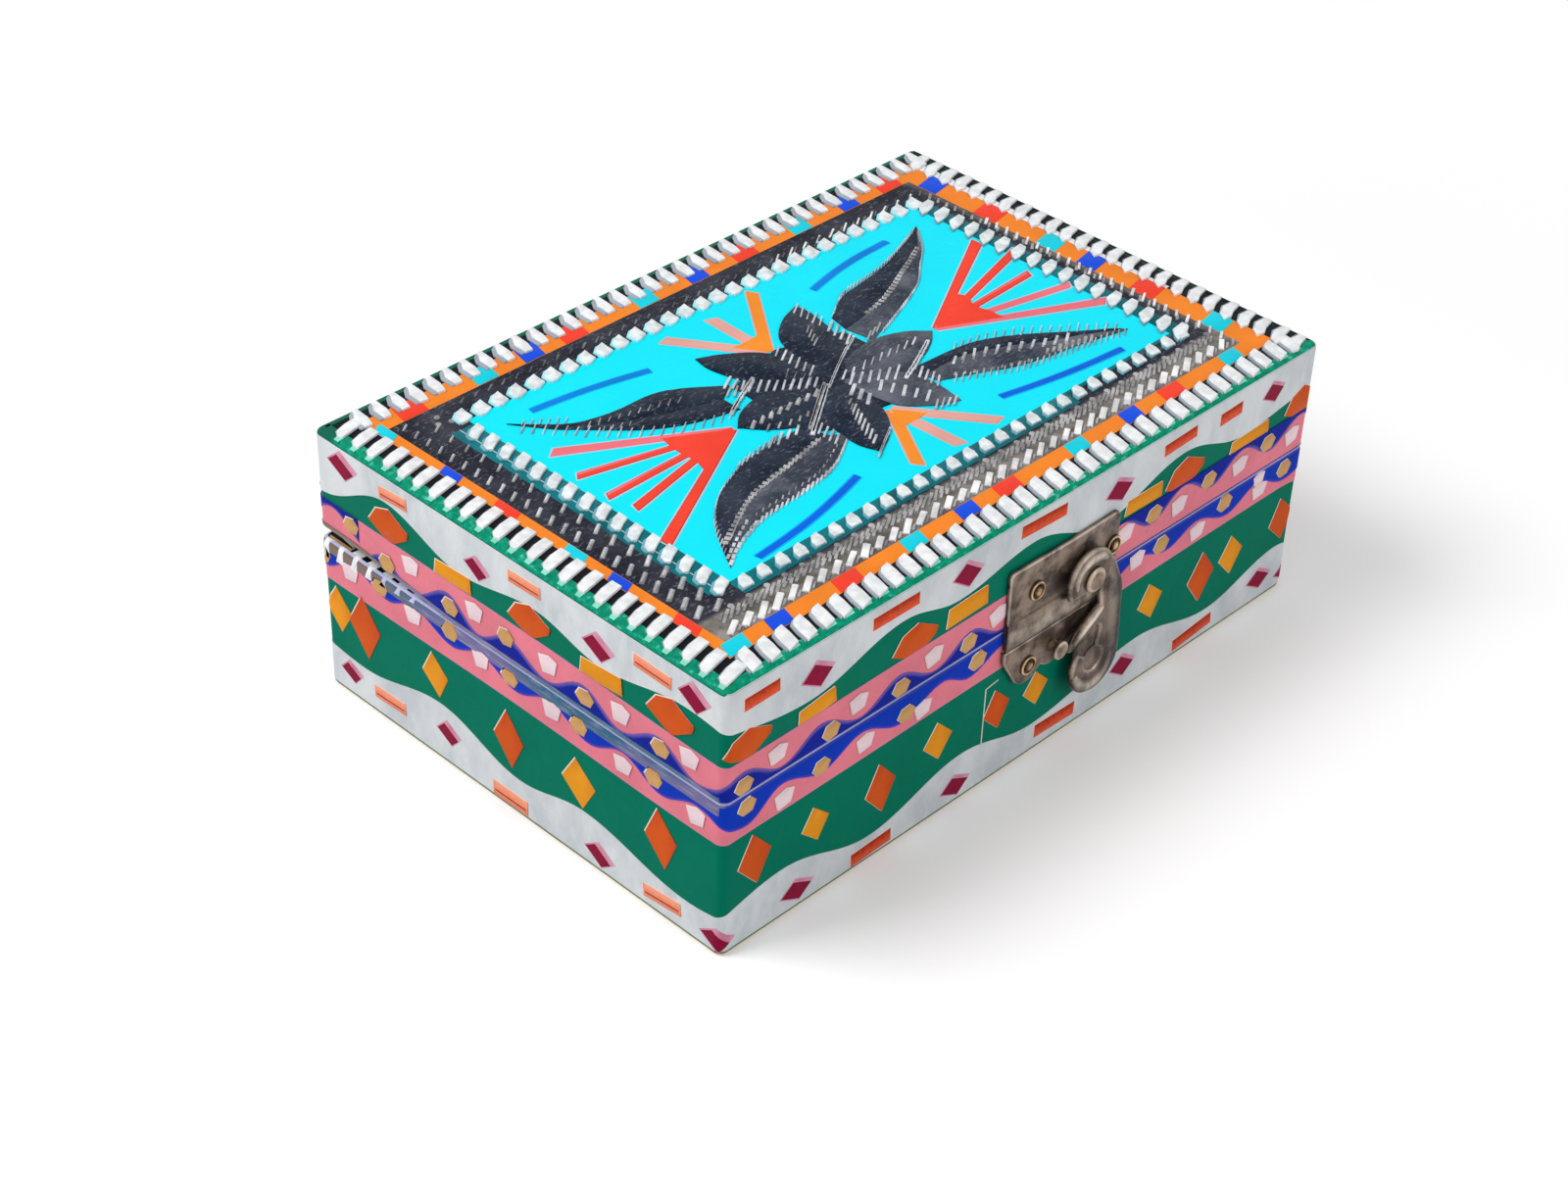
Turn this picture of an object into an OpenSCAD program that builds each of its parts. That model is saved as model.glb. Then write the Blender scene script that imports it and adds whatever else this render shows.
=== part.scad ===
// A small wooden storage box with a hinged lid and a swing-hook latch, covered in cut tape ornament.
// The origin is the centre of the underside. +X runs along the front to the right, -Y is the front.

/* [Box] */
// Length of the bare wooden box, left to right
box_l = 151.8; // [145:0.1:160]
// Width of the bare wooden box, front to back
box_w = 100.8; // [95:0.1:110]
// Height of the base with the tape on its rim
base_h = 32.1; // [30:0.1:36]
// Height of the closed wooden box, without the tape on its top
box_h = 54.7; // [53:0.1:60]
// Thickness of the walls of the base and the lid
wall_t = 7; // [6.5:0.1:8]
// Thickness of the floor panel and the top panel
panel_t = 4; // [3:0.1:5]
// Radius of the upright corners
corner_r = 1.5; // [1:0.1:2]
// Thickness of the felt sheet on the floor
felt_t = 0.8; // [0.5:0.1:1.5]

/* [Seam] */
// Gap between the two rims along the front
front_gap = 0.5; // [0.4:0.05:0.8]
// Gap between the two rims over the hinges
hinge_gap = 2.74; // [2.7:0.02:2.9]
// Distance from the back of the box to where the wide gap starts to narrow
wide_gap_run = 9; // [8:0.5:15]
// Length of the slope between the wide gap and the narrow one
gap_slope_run = 26; // [15:0.5:30]

/* [Hinges] */
// Distance of each hinge from the middle of the back
hinge_x = 45; // [30:0.5:50]
// Length of one hinge
hinge_l = 16; // [14:0.5:20]
// Width of one leaf, from the pin to its free edge
leaf_w = 5.8; // [5:0.1:6]
// Thickness of the leaf's sheet metal
leaf_t = 0.7; // [0.5:0.05:0.8]
// Outside radius of the knuckles
knuckle_r = 1.25; // [1.1:0.05:1.3]
// Radius of the hinge pin
hinge_pin_r = 0.6; // [0.5:0.05:0.65]
// Distance of the pin inside the bare back of the box
hinge_inset = 0.8; // [0.75:0.05:0.85]

/* [Latch] */
// Height of the rivet that the hook turns on
pivot_z = 35.6; // [35:0.1:36.5]
// Distance of that rivet to the right of the middle of the front
pivot_x = 10.3; // [9:0.1:12]
// Thickness of the stamped plates
plate_t = 0.8; // [0.6:0.1:1]
// Thickness of the hook
hook_t = 1.2; // [1:0.1:1.4]
// Space between the plates and the back of the hook
hook_lift = 1.2; // [1.1:0.05:1.4]
// Radius of the hook's eye
eye_r = 5.9; // [5.4:0.1:6]
// Radius of the finger curl at the foot of the hook
curl_r = 6.5; // [6:0.1:7]
// Radius of the nail heads
nail_head_r = 1.9; // [1.5:0.1:2]

/* [Tape] */
// Thickness of one layer of tape
tape_t = 0.1; // [0.08:0.01:0.12]
// Thickness of the embossed toothed tape and the petals on the top
emboss_t = 0.45; // [0.3:0.05:0.6]
// Height of the pink strip on each side of the seam
pink_h = 8; // [6:0.1:9]
// Pitch of the blue waves along the seam
blue_pitch = 18.1; // [16:0.1:22]
// Height of the white band of the base at its crests
white_crest = 11; // [9:0.1:13]
// Height of the white band of the base in its troughs
white_trough = 6.6; // [5:0.1:8]
// Pitch of the diamonds on the green of the base
diamond_pitch = 14.7; // [13:0.1:18]

/* [Hidden] */
$fn = 48;

// Faces of the bare wood and heights of the rims
half_l = box_l / 2;
half_w = box_w / 2;
lid_rim_z = base_h + front_gap;
back_rim_z = base_h + hinge_gap;
tape_foot = 0.6;

// Hinge axis
hinge_y = half_w - hinge_inset;
hinge_z = base_h + hinge_gap / 2;
knuckles = 5;
knuckle_gap = 0.3;
knuckle_pitch = hinge_l / knuckles;
hinge_bore_r = hinge_pin_r + 0.05;
hinge_screw_y = hinge_y - 3.8;
hinge_screw_dx = 4.8;
screw_r = 0.55;
screw_head_r = 1.2;
screw_head_h = 0.25;
screw_l = 5;

// Latch, seen from the front: x to the right and z up from the middle of the underside
latch_y = -half_w - 4 * tape_t;
plate_face_y = latch_y - plate_t;
hook_back_y = plate_face_y - hook_lift;
hook_face_y = hook_back_y - hook_t;
plate_x0 = -9.8;
plate_x1 = 19.2;
clasp_plate_foot = 28.6;
clasp_plate_top = 44.9;
ridge_top = 34.3;
ridge_h = 0.9;
ridge_x1 = 16.3;
catch_plate_top = 28.3;
catch_plate_waist = 24.5;
post_at = [3.3, 23.6];
post_r = 1.1;
post_head_r = 1.8;
rivet_r = 1.25;
rivet_head_r = 2.5;
nail_r = 0.7;
nail_l = 5.5;
nail_head_h = 0.9;
clasp_nails = [[-2.8, 38.6], [17.6, 38.3]];
catch_nails = [[-3.3, 22.8], [16.6, 22.8]];

// Rectangles of the top's borders, each as [left, front, right, back]
top_edge = [-75.2, -49.6, 75.2, 49.8];
black_edge = [-74.3, -48.9, 74.7, 49.4];
orange_edge = [-69.3, -44.4, 70.2, 46.2];
dark_edge = [-66.9, -40.8, 64.8, 41.3];
inner_edge = [-59.7, -34, 62.6, 37.4];
field_edge = [-55.2, -30.4, 58, 33];
field_mid = [1.2, 0.2];
sheet_z = box_h + tape_t;
emboss_z = sheet_z + tape_t;

// Basic shapes

function lerp(a, b, t) = a + (b - a) * t;
function unit(v) = v / norm(v);
function across(a, b) = let (d = unit(b - a)) [-d[1], d[0]];

// Plan of the box, larger than the bare wood by grow on every side
module plan(grow = 0) {
    r = corner_r + grow;
    square([box_l + 2 * grow, box_w - 2 * corner_r], center = true);
    square([box_l - 2 * corner_r, box_w + 2 * grow], center = true);
    for (x = [-1, 1], y = [-1, 1]) {
        translate([x * (half_l - corner_r), y * (half_w - corner_r)]) circle(r);
    }
}

// Closed band of tape round the box between two heights
module tape_ring(z0, z1, t0, t1) {
    translate([0, 0, z0]) linear_extrude(z1 - z0) {
        difference() {
            plan(t1);
            plan(t0);
        }
    }
}

// Room below the lid's rim, raised by lift: flat in front, then a slope up to the wide gap at the back
module below_lid(lift = 0) {
    wide_y = half_w - wide_gap_run;
    slope_y = wide_y - gap_slope_run;
    far = box_w;
    translate([-far, 0, 0]) rotate([90, 0, 90]) linear_extrude(2 * far) {
        polygon([
            [-far, 0], [far, 0], [far, back_rim_z + lift], [wide_y, back_rim_z + lift],
            [slope_y, lid_rim_z + lift], [-far, lid_rim_z + lift]
        ]);
    }
}

// Round bar along Y at a place on the front, from y0 out to y1
module front_bar(at, r, y0, y1) {
    translate([at[0], max(y0, y1), at[1]]) rotate([90, 0, 0]) cylinder(r = r, h = abs(y1 - y0));
}

// Outline in the front's x and z, made solid from y0 out to y1
module front_slab(y0, y1) {
    translate([0, y0, 0]) rotate([90, 0, 0]) linear_extrude(y0 - y1) children();
}

// Holes that the nails of the latch leave in the tape and the wall
module nail_holes() {
    for (at = concat(clasp_nails, catch_nails)) {
        front_bar(at, nail_r + 0.01, latch_y + nail_l + 0.2, latch_y - 1);
    }
}

// Flat outline (along, height) laid on side k, from depth d0 to d1 off the wood
// k is 0 front, 1 right, 2 back, 3 left, and along runs to the right as seen from outside
module on_side(k, d0, d1) {
    reach = k % 2 == 0 ? half_w : half_l;
    rotate([0, 0, 90 * k]) translate([0, -reach - d0, 0]) rotate([90, 0, 0]) {
        linear_extrude(d1 - d0) children();
    }
}

function side_length(k) = (k % 2 == 0 ? box_l : box_w) - 2 * corner_r;

// Wooden shells

module wall_plan(k) {
    inner_l = box_l - 2 * wall_t;
    inner_w = box_w - 2 * wall_t;
    intersection() {
        plan();
        if (k == 0) translate([-half_l, -half_w]) square([box_l, wall_t]);
        if (k == 2) translate([-half_l, half_w - wall_t]) square([box_l, wall_t]);
        if (k == 1) translate([inner_l / 2, -inner_w / 2]) square([wall_t, inner_w]);
        if (k == 3) translate([-half_l, -inner_w / 2]) square([wall_t, inner_w]);
    }
}

module base_wall(k) {
    color("burlywood") difference() {
        translate([0, 0, panel_t]) linear_extrude(base_h - tape_t - panel_t) wall_plan(k);
        if (k == 0) nail_holes();
        if (k == 2) leaf_screw_holes(-1);
    }
}

module lid_wall(k) {
    foot = base_h - 1;
    color("burlywood") difference() {
        translate([0, 0, foot]) linear_extrude(box_h - panel_t - foot) wall_plan(k);
        below_lid(tape_t);
        if (k == 0) nail_holes();
        if (k == 2) leaf_screw_holes(1);
    }
}

module floor_panel() {
    color("burlywood") linear_extrude(panel_t) plan();
}

module base_front_wall() {
    base_wall(0);
}

module base_right_wall() {
    base_wall(1);
}

module base_back_wall() {
    base_wall(2);
}

module base_left_wall() {
    base_wall(3);
}

module floor_felt() {
    play = 0.3;
    size = [box_l - 2 * wall_t - 2 * play, box_w - 2 * wall_t - 2 * play, felt_t];
    color("maroon") translate([-size[0] / 2, -size[1] / 2, panel_t]) cube(size);
}

module lid_top_panel() {
    color("burlywood") translate([0, 0, box_h - panel_t]) linear_extrude(panel_t) plan();
}

module lid_front_wall() {
    lid_wall(0);
}

module lid_right_wall() {
    lid_wall(1);
}

module lid_back_wall() {
    lid_wall(2);
}

module lid_left_wall() {
    lid_wall(3);
}

// Tape on the four sides

// Points of a wavy edge from u0 to u1, with crests one pitch apart
function wave(u0, u1, low, high, pitch, steps) = [
    for (i = [0 : steps])
        let (u = lerp(u0, u1, i / steps))
        [u, lerp(low, high, 0.5 + 0.5 * cos(360 * (u - u0) / pitch))]
];

// Band on side k from a straight edge at height z to a wavy edge
module wavy_band(k, z, low, high, waves, layer) {
    half = side_length(k) / 2;
    edge = wave(-half, half, low, high, 2 * half / waves, 8 * waves);
    on_side(k, layer * tape_t, (layer + 1) * tape_t) {
        polygon(concat([[half, z], [-half, z]], edge));
    }
}

function blue_waves(k) = round(side_length(k) / blue_pitch);

module base_green_tape() {
    color("seagreen") difference() {
        tape_ring(tape_foot, base_h - tape_t, 0, tape_t);
        nail_holes();
    }
}

module lid_green_tape() {
    color("seagreen") difference() {
        tape_ring(base_h, box_h, 0, tape_t);
        below_lid(tape_t);
        nail_holes();
    }
}

module base_white_band() {
    color("whitesmoke") for (k = [0 : 3]) {
        wavy_band(k, tape_foot, white_trough, white_crest, k % 2 == 0 ? 3 : 2, 1);
    }
}

module lid_white_band() {
    white_low = 43.2;
    white_high = 48.3;
    color("whitesmoke") difference() {
        for (k = [0 : 3]) wavy_band(k, box_h, white_high, white_low, k % 2 == 0 ? 4 : 3, 1);
        nail_holes();
    }
}

module base_pink_strip() {
    color("palevioletred") difference() {
        tape_ring(base_h - pink_h + 0.5, base_h - tape_t, tape_t, 2 * tape_t);
        nail_holes();
    }
}

module lid_pink_strip() {
    color("palevioletred") difference() {
        tape_ring(base_h, lid_rim_z + pink_h - 0.5, tape_t, 2 * tape_t);
        below_lid(tape_t);
        nail_holes();
    }
}

module base_blue_wave() {
    color("mediumblue") difference() {
        for (k = [0 : 3]) {
            wavy_band(k, base_h - tape_t, base_h - 5.2, base_h - 2.4, blue_waves(k), 2);
        }
        nail_holes();
    }
}

module lid_blue_wave() {
    color("mediumblue") difference() {
        for (k = [0 : 3]) {
            wavy_band(k, base_h, lid_rim_z + 4.6, lid_rim_z + 2.2, blue_waves(k), 2);
        }
        below_lid(tape_t);
        nail_holes();
    }
}

module diamond(w, h) {
    polygon([[-w / 2, 0], [-w / 8, -h / 2], [w / 2, 0], [w / 8, h / 2]]);
}

module dash(w, h, slant = 0.6) {
    polygon([[-w / 2, -h / 2], [w / 2, -h / 2], [w / 2 + slant, h / 2], [-w / 2 + slant, h / 2]]);
}

// Copies of a flat piece along side k, from one with its middle at start from the side's left end
module row(k, start, pitch, z, layer) {
    half = side_length(k) / 2;
    count = floor((2 * half - start - 3) / pitch);
    on_side(k, layer * tape_t, (layer + 1) * tape_t) {
        for (i = [0 : count]) translate([-half + start + i * pitch, z]) children();
    }
}

module base_orange_cuts() {
    color("orangered") for (k = [0 : 3]) {
        row(k, 6.5, 2 * diamond_pitch, 16, 1) diamond(7.4, 10.6);
        row(k, 34, 44, 2.7, 2) dash(9.6, 2.4);
    }
}

module base_yellow_cuts() {
    color("orange") for (k = [0 : 3]) {
        row(k, 6.5 + diamond_pitch, 2 * diamond_pitch, 16.6, 1) diamond(6.6, 8.2);
    }
}

module base_crimson_cuts() {
    color("crimson") for (k = [0 : 3]) row(k, 16, 43, 5, 2) diamond(8, 5.2);
}

module base_tan_spots() {
    color("tan") for (k = [0 : 3]) row(k, 5, blue_pitch, base_h - 3.4, 3) circle(r = 1.9, $fn = 6);
}

module base_pale_spots() {
    color("pink") for (k = [0 : 3]) {
        row(k, 5 + blue_pitch / 2, blue_pitch, base_h - 4.4, 3) circle(r = 1.9, $fn = 5);
    }
}

module lid_orange_cuts() {
    color("orangered") difference() {
        for (k = [0 : 3]) {
            row(k, 7, 36, 43.4, 2) diamond(10.6, 6.4);
            row(k, 8, 38, 51.6, 2) dash(9, 2.5);
        }
        nail_holes();
    }
}

module lid_yellow_cuts() {
    color("orange") difference() {
        for (k = [0 : 3]) row(k, 20, 36, 42, 2) dash(9.4, 3.6);
        nail_holes();
    }
}

module lid_crimson_cuts() {
    color("crimson") for (k = [0 : 3]) row(k, 20, 38, 49.4, 2) diamond(7.6, 5.4);
}

module lid_tan_spots() {
    color("tan") for (k = [0 : 3]) row(k, 4, blue_pitch, 37.4, 3) circle(r = 1.8, $fn = 6);
}

module lid_pale_spots() {
    color("pink") for (k = [0 : 3]) {
        row(k, 4 + blue_pitch / 2, blue_pitch, 38, 3) circle(r = 1.8, $fn = 5);
    }
}

// Tape folded over the rims

module rim_plan() {
    difference() {
        plan();
        square([box_l - 2 * wall_t, box_w - 2 * wall_t], center = true);
    }
}

module base_rim_tape() {
    color("gainsboro") difference() {
        translate([0, 0, base_h - tape_t]) linear_extrude(tape_t) rim_plan();
        leaf_screw_holes(-1);
    }
}

module lid_rim_tape() {
    color("gainsboro") intersection() {
        difference() {
            translate([0, 0, base_h]) linear_extrude(hinge_gap + 1) rim_plan();
            below_lid();
            leaf_screw_holes(1);
        }
        below_lid(tape_t);
    }
}

// Tape on the top, in plan

function rect_size(e) = [e[2] - e[0], e[3] - e[1]];

// Widths between two rectangles, in the order front, left, back, right
function widths(outer, inner) = [
    inner[1] - outer[1], inner[0] - outer[0], outer[3] - inner[3], outer[2] - inner[2]
];

module rect(e) {
    translate([e[0], e[1]]) square(rect_size(e));
}

// Flat frame between two rectangles, at height z
module frame(outer, inner, z, t = tape_t) {
    translate([0, 0, z]) linear_extrude(t) {
        difference() {
            rect(outer);
            rect(inner);
        }
    }
}

// Strip with slanted teeth cut into it, along x, with the teeth towards +y
function comb(len, depth, pitch) = let (
    count = floor(len / pitch),
    step = len / count,
    spine = 0.22 * depth,
    tooth = 0.6 * step,
    slant = 0.12 * step
) concat(
    [[0, 0]],
    [for (i = [0 : count - 1]) each [
        [i * step + 0.1, spine], [i * step + 0.1 + slant, depth],
        [i * step + tooth + slant, depth], [i * step + tooth, spine]
    ]],
    [[len, spine], [len, 0]]
);

// Four combs round a rectangle with their teeth outwards, in the order front, left, back, right
module comb_frame(e, depths, pitch) {
    size = rect_size(e);
    starts = [[e[2], e[1] + depths[0]], [e[0] + depths[1], e[1]],
              [e[0], e[3] - depths[2]], [e[2] - depths[3], e[3]]];
    for (i = [0 : 3]) {
        translate(starts[i]) rotate(180 - 90 * i) {
            polygon(comb(i % 2 == 0 ? size[0] : size[1], depths[i], pitch));
        }
    }
}

module top_green_sheet() {
    color("seagreen") translate([0, 0, box_h]) linear_extrude(tape_t) plan(tape_t);
}

module top_black_border() {
    color("black") frame(black_edge, orange_edge, sheet_z);
}

module top_orange_border() {
    color("darkorange") frame(orange_edge, dark_edge, sheet_z);
}

module top_dark_band() {
    color("dimgray") frame(dark_edge, field_edge, sheet_z);
}

module top_cyan_field() {
    color("cyan") translate([0, 0, sheet_z]) linear_extrude(tape_t) rect(field_edge);
}

module outer_teeth() {
    color("whitesmoke") translate([0, 0, emboss_z]) linear_extrude(emboss_t) {
        comb_frame(top_edge, widths(top_edge, orange_edge), 4.1);
    }
}

module inner_teeth() {
    color("whitesmoke") translate([0, 0, emboss_z]) linear_extrude(emboss_t) {
        comb_frame(inner_edge, widths(inner_edge, field_edge), 4.1);
    }
}

// Chips of coloured tape along the orange border, once in every cycle of colours
module chips(offset_along, length) {
    cycle = 42;
    front_mid = (orange_edge[1] + dark_edge[1]) / 2;
    back_mid = (orange_edge[3] + dark_edge[3]) / 2;
    left_mid = (orange_edge[0] + dark_edge[0]) / 2;
    right_mid = (orange_edge[2] + dark_edge[2]) / 2;
    margin = 0.4;
    depths = widths(orange_edge, dark_edge) - [1, 1, 1, 1] * margin;
    translate([0, 0, emboss_z]) linear_extrude(tape_t) {
        for (x = [orange_edge[0] + 4 + offset_along : cycle : orange_edge[2] - 4]) {
            translate([x, front_mid]) square([length, depths[0]], center = true);
            translate([x, back_mid]) square([length, depths[2]], center = true);
        }
        for (y = [orange_edge[1] + 6 + offset_along : cycle : orange_edge[3] - 4]) {
            translate([left_mid, y]) square([depths[1], length], center = true);
            translate([right_mid, y]) square([depths[3], length], center = true);
        }
    }
}

module cyan_chips() {
    color("darkturquoise") chips(0, 4.6);
}

module blue_chips() {
    color("royalblue") chips(11, 4.6);
}

module red_chips() {
    color("tomato") chips(26, 5.6);
}

// Leaf outline along a bowed line from root to tip, widest past its middle
function petal(root, tip, half_width, bow, curl, steps = 14) = let (
    side = across(root, tip),
    mid = [for (i = [0 : steps])
        let (t = i / steps)
        lerp(root, tip, t) + side * (bow * sin(180 * t) + curl * sin(360 * t))],
    half = [for (i = [0 : steps]) half_width * pow(max(0, sin(180 * pow(i / steps, 0.85))), 0.8)]
) concat(
    [for (i = [0 : steps]) mid[i] + side * half[i]],
    [for (i = [steps - 1 : -1 : 1]) mid[i] - side * half[i]]
);

// Strip of even width along a bowed line
function ribbon(a, b, width, bow, steps = 8) = let (
    side = across(a, b),
    mid = [for (i = [0 : steps]) lerp(a, b, i / steps) + side * bow * sin(180 * i / steps)]
) concat(
    [for (i = [0 : steps]) mid[i] + side * width / 2],
    [for (i = [steps : -1 : 0]) mid[i] - side * width / 2]
);

// Rays of even width from one apex, joined near it as a web
function fan(apex, tips, width, web) = concat(
    [apex],
    [for (i = [0 : len(tips) - 1])
        let (side = across(apex, tips[i]) * width / 2)
        each concat(
            i == 0 ? [] : [lerp(apex, (tips[i] + tips[i - 1]) / 2, web)],
            [tips[i] - side, tips[i] + side]
        )]
);

module long_petals() {
    // Tip, half width, bow and curl of each petal: back left, back right, front left, front right
    petals = [
        [[-51.2, 28.7], 4.5, 2.6, -1.2], [[52.4, 27.9], 5.2, 0.2, 0.7],
        [[-52.4, -27.2], 5.9, -1.8, 2.5], [[52.8, -23.6], 6.2, -1, -0.6]
    ];
    color("dimgray") translate([0, 0, emboss_z]) linear_extrude(emboss_t) {
        for (p = petals) polygon(petal(lerp(field_mid, p[0], 0.2), p[0], p[1], p[2], p[3]));
    }
}

module short_petals() {
    tips = [[-22.8, 1.2], [26.6, -0.4], [-12.6, 23.2], [15, 24], [-10.2, -23.2], [15, -20.9]];
    color("slategray") translate([0, 0, emboss_z + emboss_t]) linear_extrude(tape_t) {
        for (tip = tips) polygon(petal(field_mid, tip, 6.2, 0, 0));
    }
}

module red_rays() {
    left_tips = [[-51, 16.9], [-52.8, 8.7], [-53.2, 0.8], [-52, -4.7], [-54.2, -15]];
    right_tips = [[57, -14.6], [57, -6.3], [55.1, 1.6], [57, 9.1], [56.7, 16.1]];
    color("tomato") translate([0, 0, emboss_z]) linear_extrude(tape_t) {
        polygon(fan([-23.6, 1.2], left_tips, 2.4, 0.45));
        polygon(fan([27.2, 0], right_tips, 2.4, 0.45));
    }
}

module orange_rays() {
    back_tips = [[11.4, 31.8], [-0.8, 30.3], [-12.2, 30.7]];
    front_tips = [[-7.9, -28], [2, -28.7], [12.6, -28.4]];
    color("sandybrown") translate([0, 0, emboss_z]) linear_extrude(tape_t) {
        polygon(fan([-0.6, 15.7], back_tips, 2.4, 0.5));
        polygon(fan([1.2, -13.4], front_tips, 2.4, 0.5));
    }
}

module blue_dashes() {
    lines = [
        [[-45.3, 29.1], [-20.9, 24.8], 0.6], [[20.5, 24.8], [44.1, 27.9], 0.9],
        [[-47.2, -28.4], [-18.1, -23.2], -0.9], [[18.5, -23.2], [47.2, -27.6], -0.6]
    ];
    color("dodgerblue") translate([0, 0, emboss_z]) linear_extrude(tape_t) {
        for (l = lines) polygon(ribbon(l[0], l[1], 1.5, l[2]));
    }
}

// Hinges

// Places of the screws in the leaves, on side up of the pin: -1 in the base, 1 in the lid
module leaf_screw_holes(up) {
    z = hinge_z + up * hinge_gap / 2;
    for (h = [-1, 1], d = [-1, 1]) {
        translate([h * hinge_x + d * hinge_screw_dx, hinge_screw_y, z]) {
            cylinder(r = screw_r + 0.01, h = 2 * screw_l + 0.4, center = true);
        }
    }
}

// One leaf with every second knuckle, starting with knuckle number first
module leaf(up, first) {
    plate_edge = knuckle_r + 0.4;
    plate_z = up < 0 ? -hinge_gap / 2 : hinge_gap / 2 - leaf_t;
    difference() {
        union() {
            translate([-hinge_l / 2, -leaf_w, plate_z]) cube([hinge_l, leaf_w - plate_edge, leaf_t]);
            for (i = [first : 2 : knuckles - 1]) {
                x = -hinge_l / 2 + i * knuckle_pitch + knuckle_gap / 2;
                w = knuckle_pitch - knuckle_gap;
                translate([x, -plate_edge - 0.1, plate_z]) cube([w, plate_edge - 0.3, leaf_t]);
                translate([x, 0, 0]) rotate([0, 90, 0]) cylinder(r = knuckle_r, h = w);
            }
        }
        rotate([0, 90, 0]) cylinder(r = hinge_bore_r, h = hinge_l + 2, center = true);
        for (d = [-1, 1]) {
            translate([d * hinge_screw_dx, hinge_screw_y - hinge_y, 0]) {
                cylinder(r = screw_r + 0.1, h = 2 * hinge_gap, center = true);
            }
        }
    }
}

module leaves(up, first) {
    color("goldenrod") for (h = [-1, 1]) {
        translate([h * hinge_x, hinge_y, hinge_z]) leaf(up, first);
    }
}

module screws(up) {
    face = up * (hinge_gap / 2 - leaf_t);
    color("gold") for (h = [-1, 1], d = [-1, 1]) {
        translate([h * hinge_x + d * hinge_screw_dx, hinge_screw_y, hinge_z + face]) {
            rotate([up < 0 ? 180 : 0, 0, 0]) {
                translate([0, 0, -screw_head_h]) cylinder(r = screw_head_r, h = screw_head_h);
                cylinder(r = screw_r, h = screw_l);
            }
        }
    }
}

module hinge_lower_leaves() {
    leaves(-1, 0);
}

module hinge_upper_leaves() {
    leaves(1, 1);
}

module hinge_lower_screws() {
    screws(-1);
}

module hinge_upper_screws() {
    screws(1);
}

module hinge_pins() {
    overhang = 0.4;
    color("goldenrod") for (h = [-1, 1]) {
        translate([h * hinge_x, hinge_y, hinge_z]) rotate([0, 90, 0]) {
            cylinder(r = hinge_pin_r, h = hinge_l + 2 * overhang, center = true);
        }
    }
}

// Latch

// Low nails with wide round heads
module nails(places) {
    rim_h = 0.4;
    color("goldenrod") for (at = places) {
        front_bar(at, nail_r, latch_y + nail_l, plate_face_y);
        front_bar(at, nail_head_r, plate_face_y, plate_face_y - rim_h);
        front_bar(at, nail_head_r - 0.5, plate_face_y, plate_face_y - nail_head_h);
    }
}

module plate_nail_holes(places) {
    for (at = places) front_bar(at, nail_r + 0.05, latch_y + 1, plate_face_y - 1);
}

// Plate on the lid, which hangs over the seam and has a rolled ridge along its foot
module clasp_plate() {
    ridge_half = (ridge_top - clasp_plate_foot) / 2;
    ridge_r = (ridge_half * ridge_half + ridge_h * ridge_h) / (2 * ridge_h);
    color("rosybrown") difference() {
        union() {
            front_slab(latch_y, plate_face_y) {
                translate([plate_x0, clasp_plate_foot]) {
                    square([plate_x1 - plate_x0, clasp_plate_top - clasp_plate_foot]);
                }
            }
            intersection() {
                translate([plate_x0 + 0.5, plate_face_y + ridge_r - ridge_h,
                           clasp_plate_foot + ridge_half]) {
                    rotate([0, 90, 0]) cylinder(r = ridge_r, h = ridge_x1 - plate_x0 - 0.5);
                }
                front_slab(latch_y - plate_t / 2, plate_face_y - 2 * ridge_h) {
                    translate([plate_x0, clasp_plate_foot]) {
                        square([plate_x1 - plate_x0, 2 * ridge_half]);
                    }
                }
            }
        }
        plate_nail_holes(clasp_nails);
        front_bar([pivot_x, pivot_z], rivet_r + 0.02, latch_y + 1, plate_face_y - 3);
        // Round seat for the rivet's shoulder, where the ridge would meet it
        front_bar([pivot_x, pivot_z], rivet_head_r + 0.1, plate_face_y, plate_face_y - 3);
    }
}

module clasp_plate_nails() {
    nails(clasp_nails);
}

// Rivet with a shoulder that holds the hook off the plate and a domed head
module clasp_rivet() {
    at = [pivot_x, pivot_z];
    head_y = hook_face_y - 0.05;
    color("goldenrod") {
        front_bar(at, rivet_r, latch_y, head_y);
        front_bar(at, rivet_head_r - 0.3, plate_face_y, hook_back_y + 0.05);
        front_bar(at, rivet_head_r, head_y, head_y - 0.4);
        front_bar(at, rivet_head_r - 0.8, head_y, head_y - 0.8);
    }
}

module lobe(at, r) {
    translate(at) circle(r);
}

// Plate on the base, with a lobe for each nail and for the post
module catch_plate() {
    lobe_r = 3.9;
    color("rosybrown") difference() {
        front_slab(latch_y, plate_face_y) {
            translate([plate_x0, catch_plate_waist]) {
                square([plate_x1 - plate_x0, catch_plate_top - catch_plate_waist]);
            }
            lobe(catch_nails[0], lobe_r);
            lobe(catch_nails[1], lobe_r - 1);
            lobe(post_at, lobe_r);
            translate([catch_nails[0][0], catch_nails[0][1] - 1.2]) {
                square([catch_nails[1][0] - catch_nails[0][0], catch_plate_waist - 20]);
            }
        }
        plate_nail_holes(catch_nails);
        front_bar(post_at, post_r + 0.02, latch_y + 1, plate_face_y - 1);
    }
}

module catch_post() {
    head_h = 0.7;
    color("darkgoldenrod") {
        front_bar(post_at, post_r, latch_y, hook_face_y);
        front_bar(post_at, post_head_r, hook_face_y + head_h, hook_face_y);
    }
}

module catch_plate_nails() {
    nails(catch_nails);
}

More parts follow.
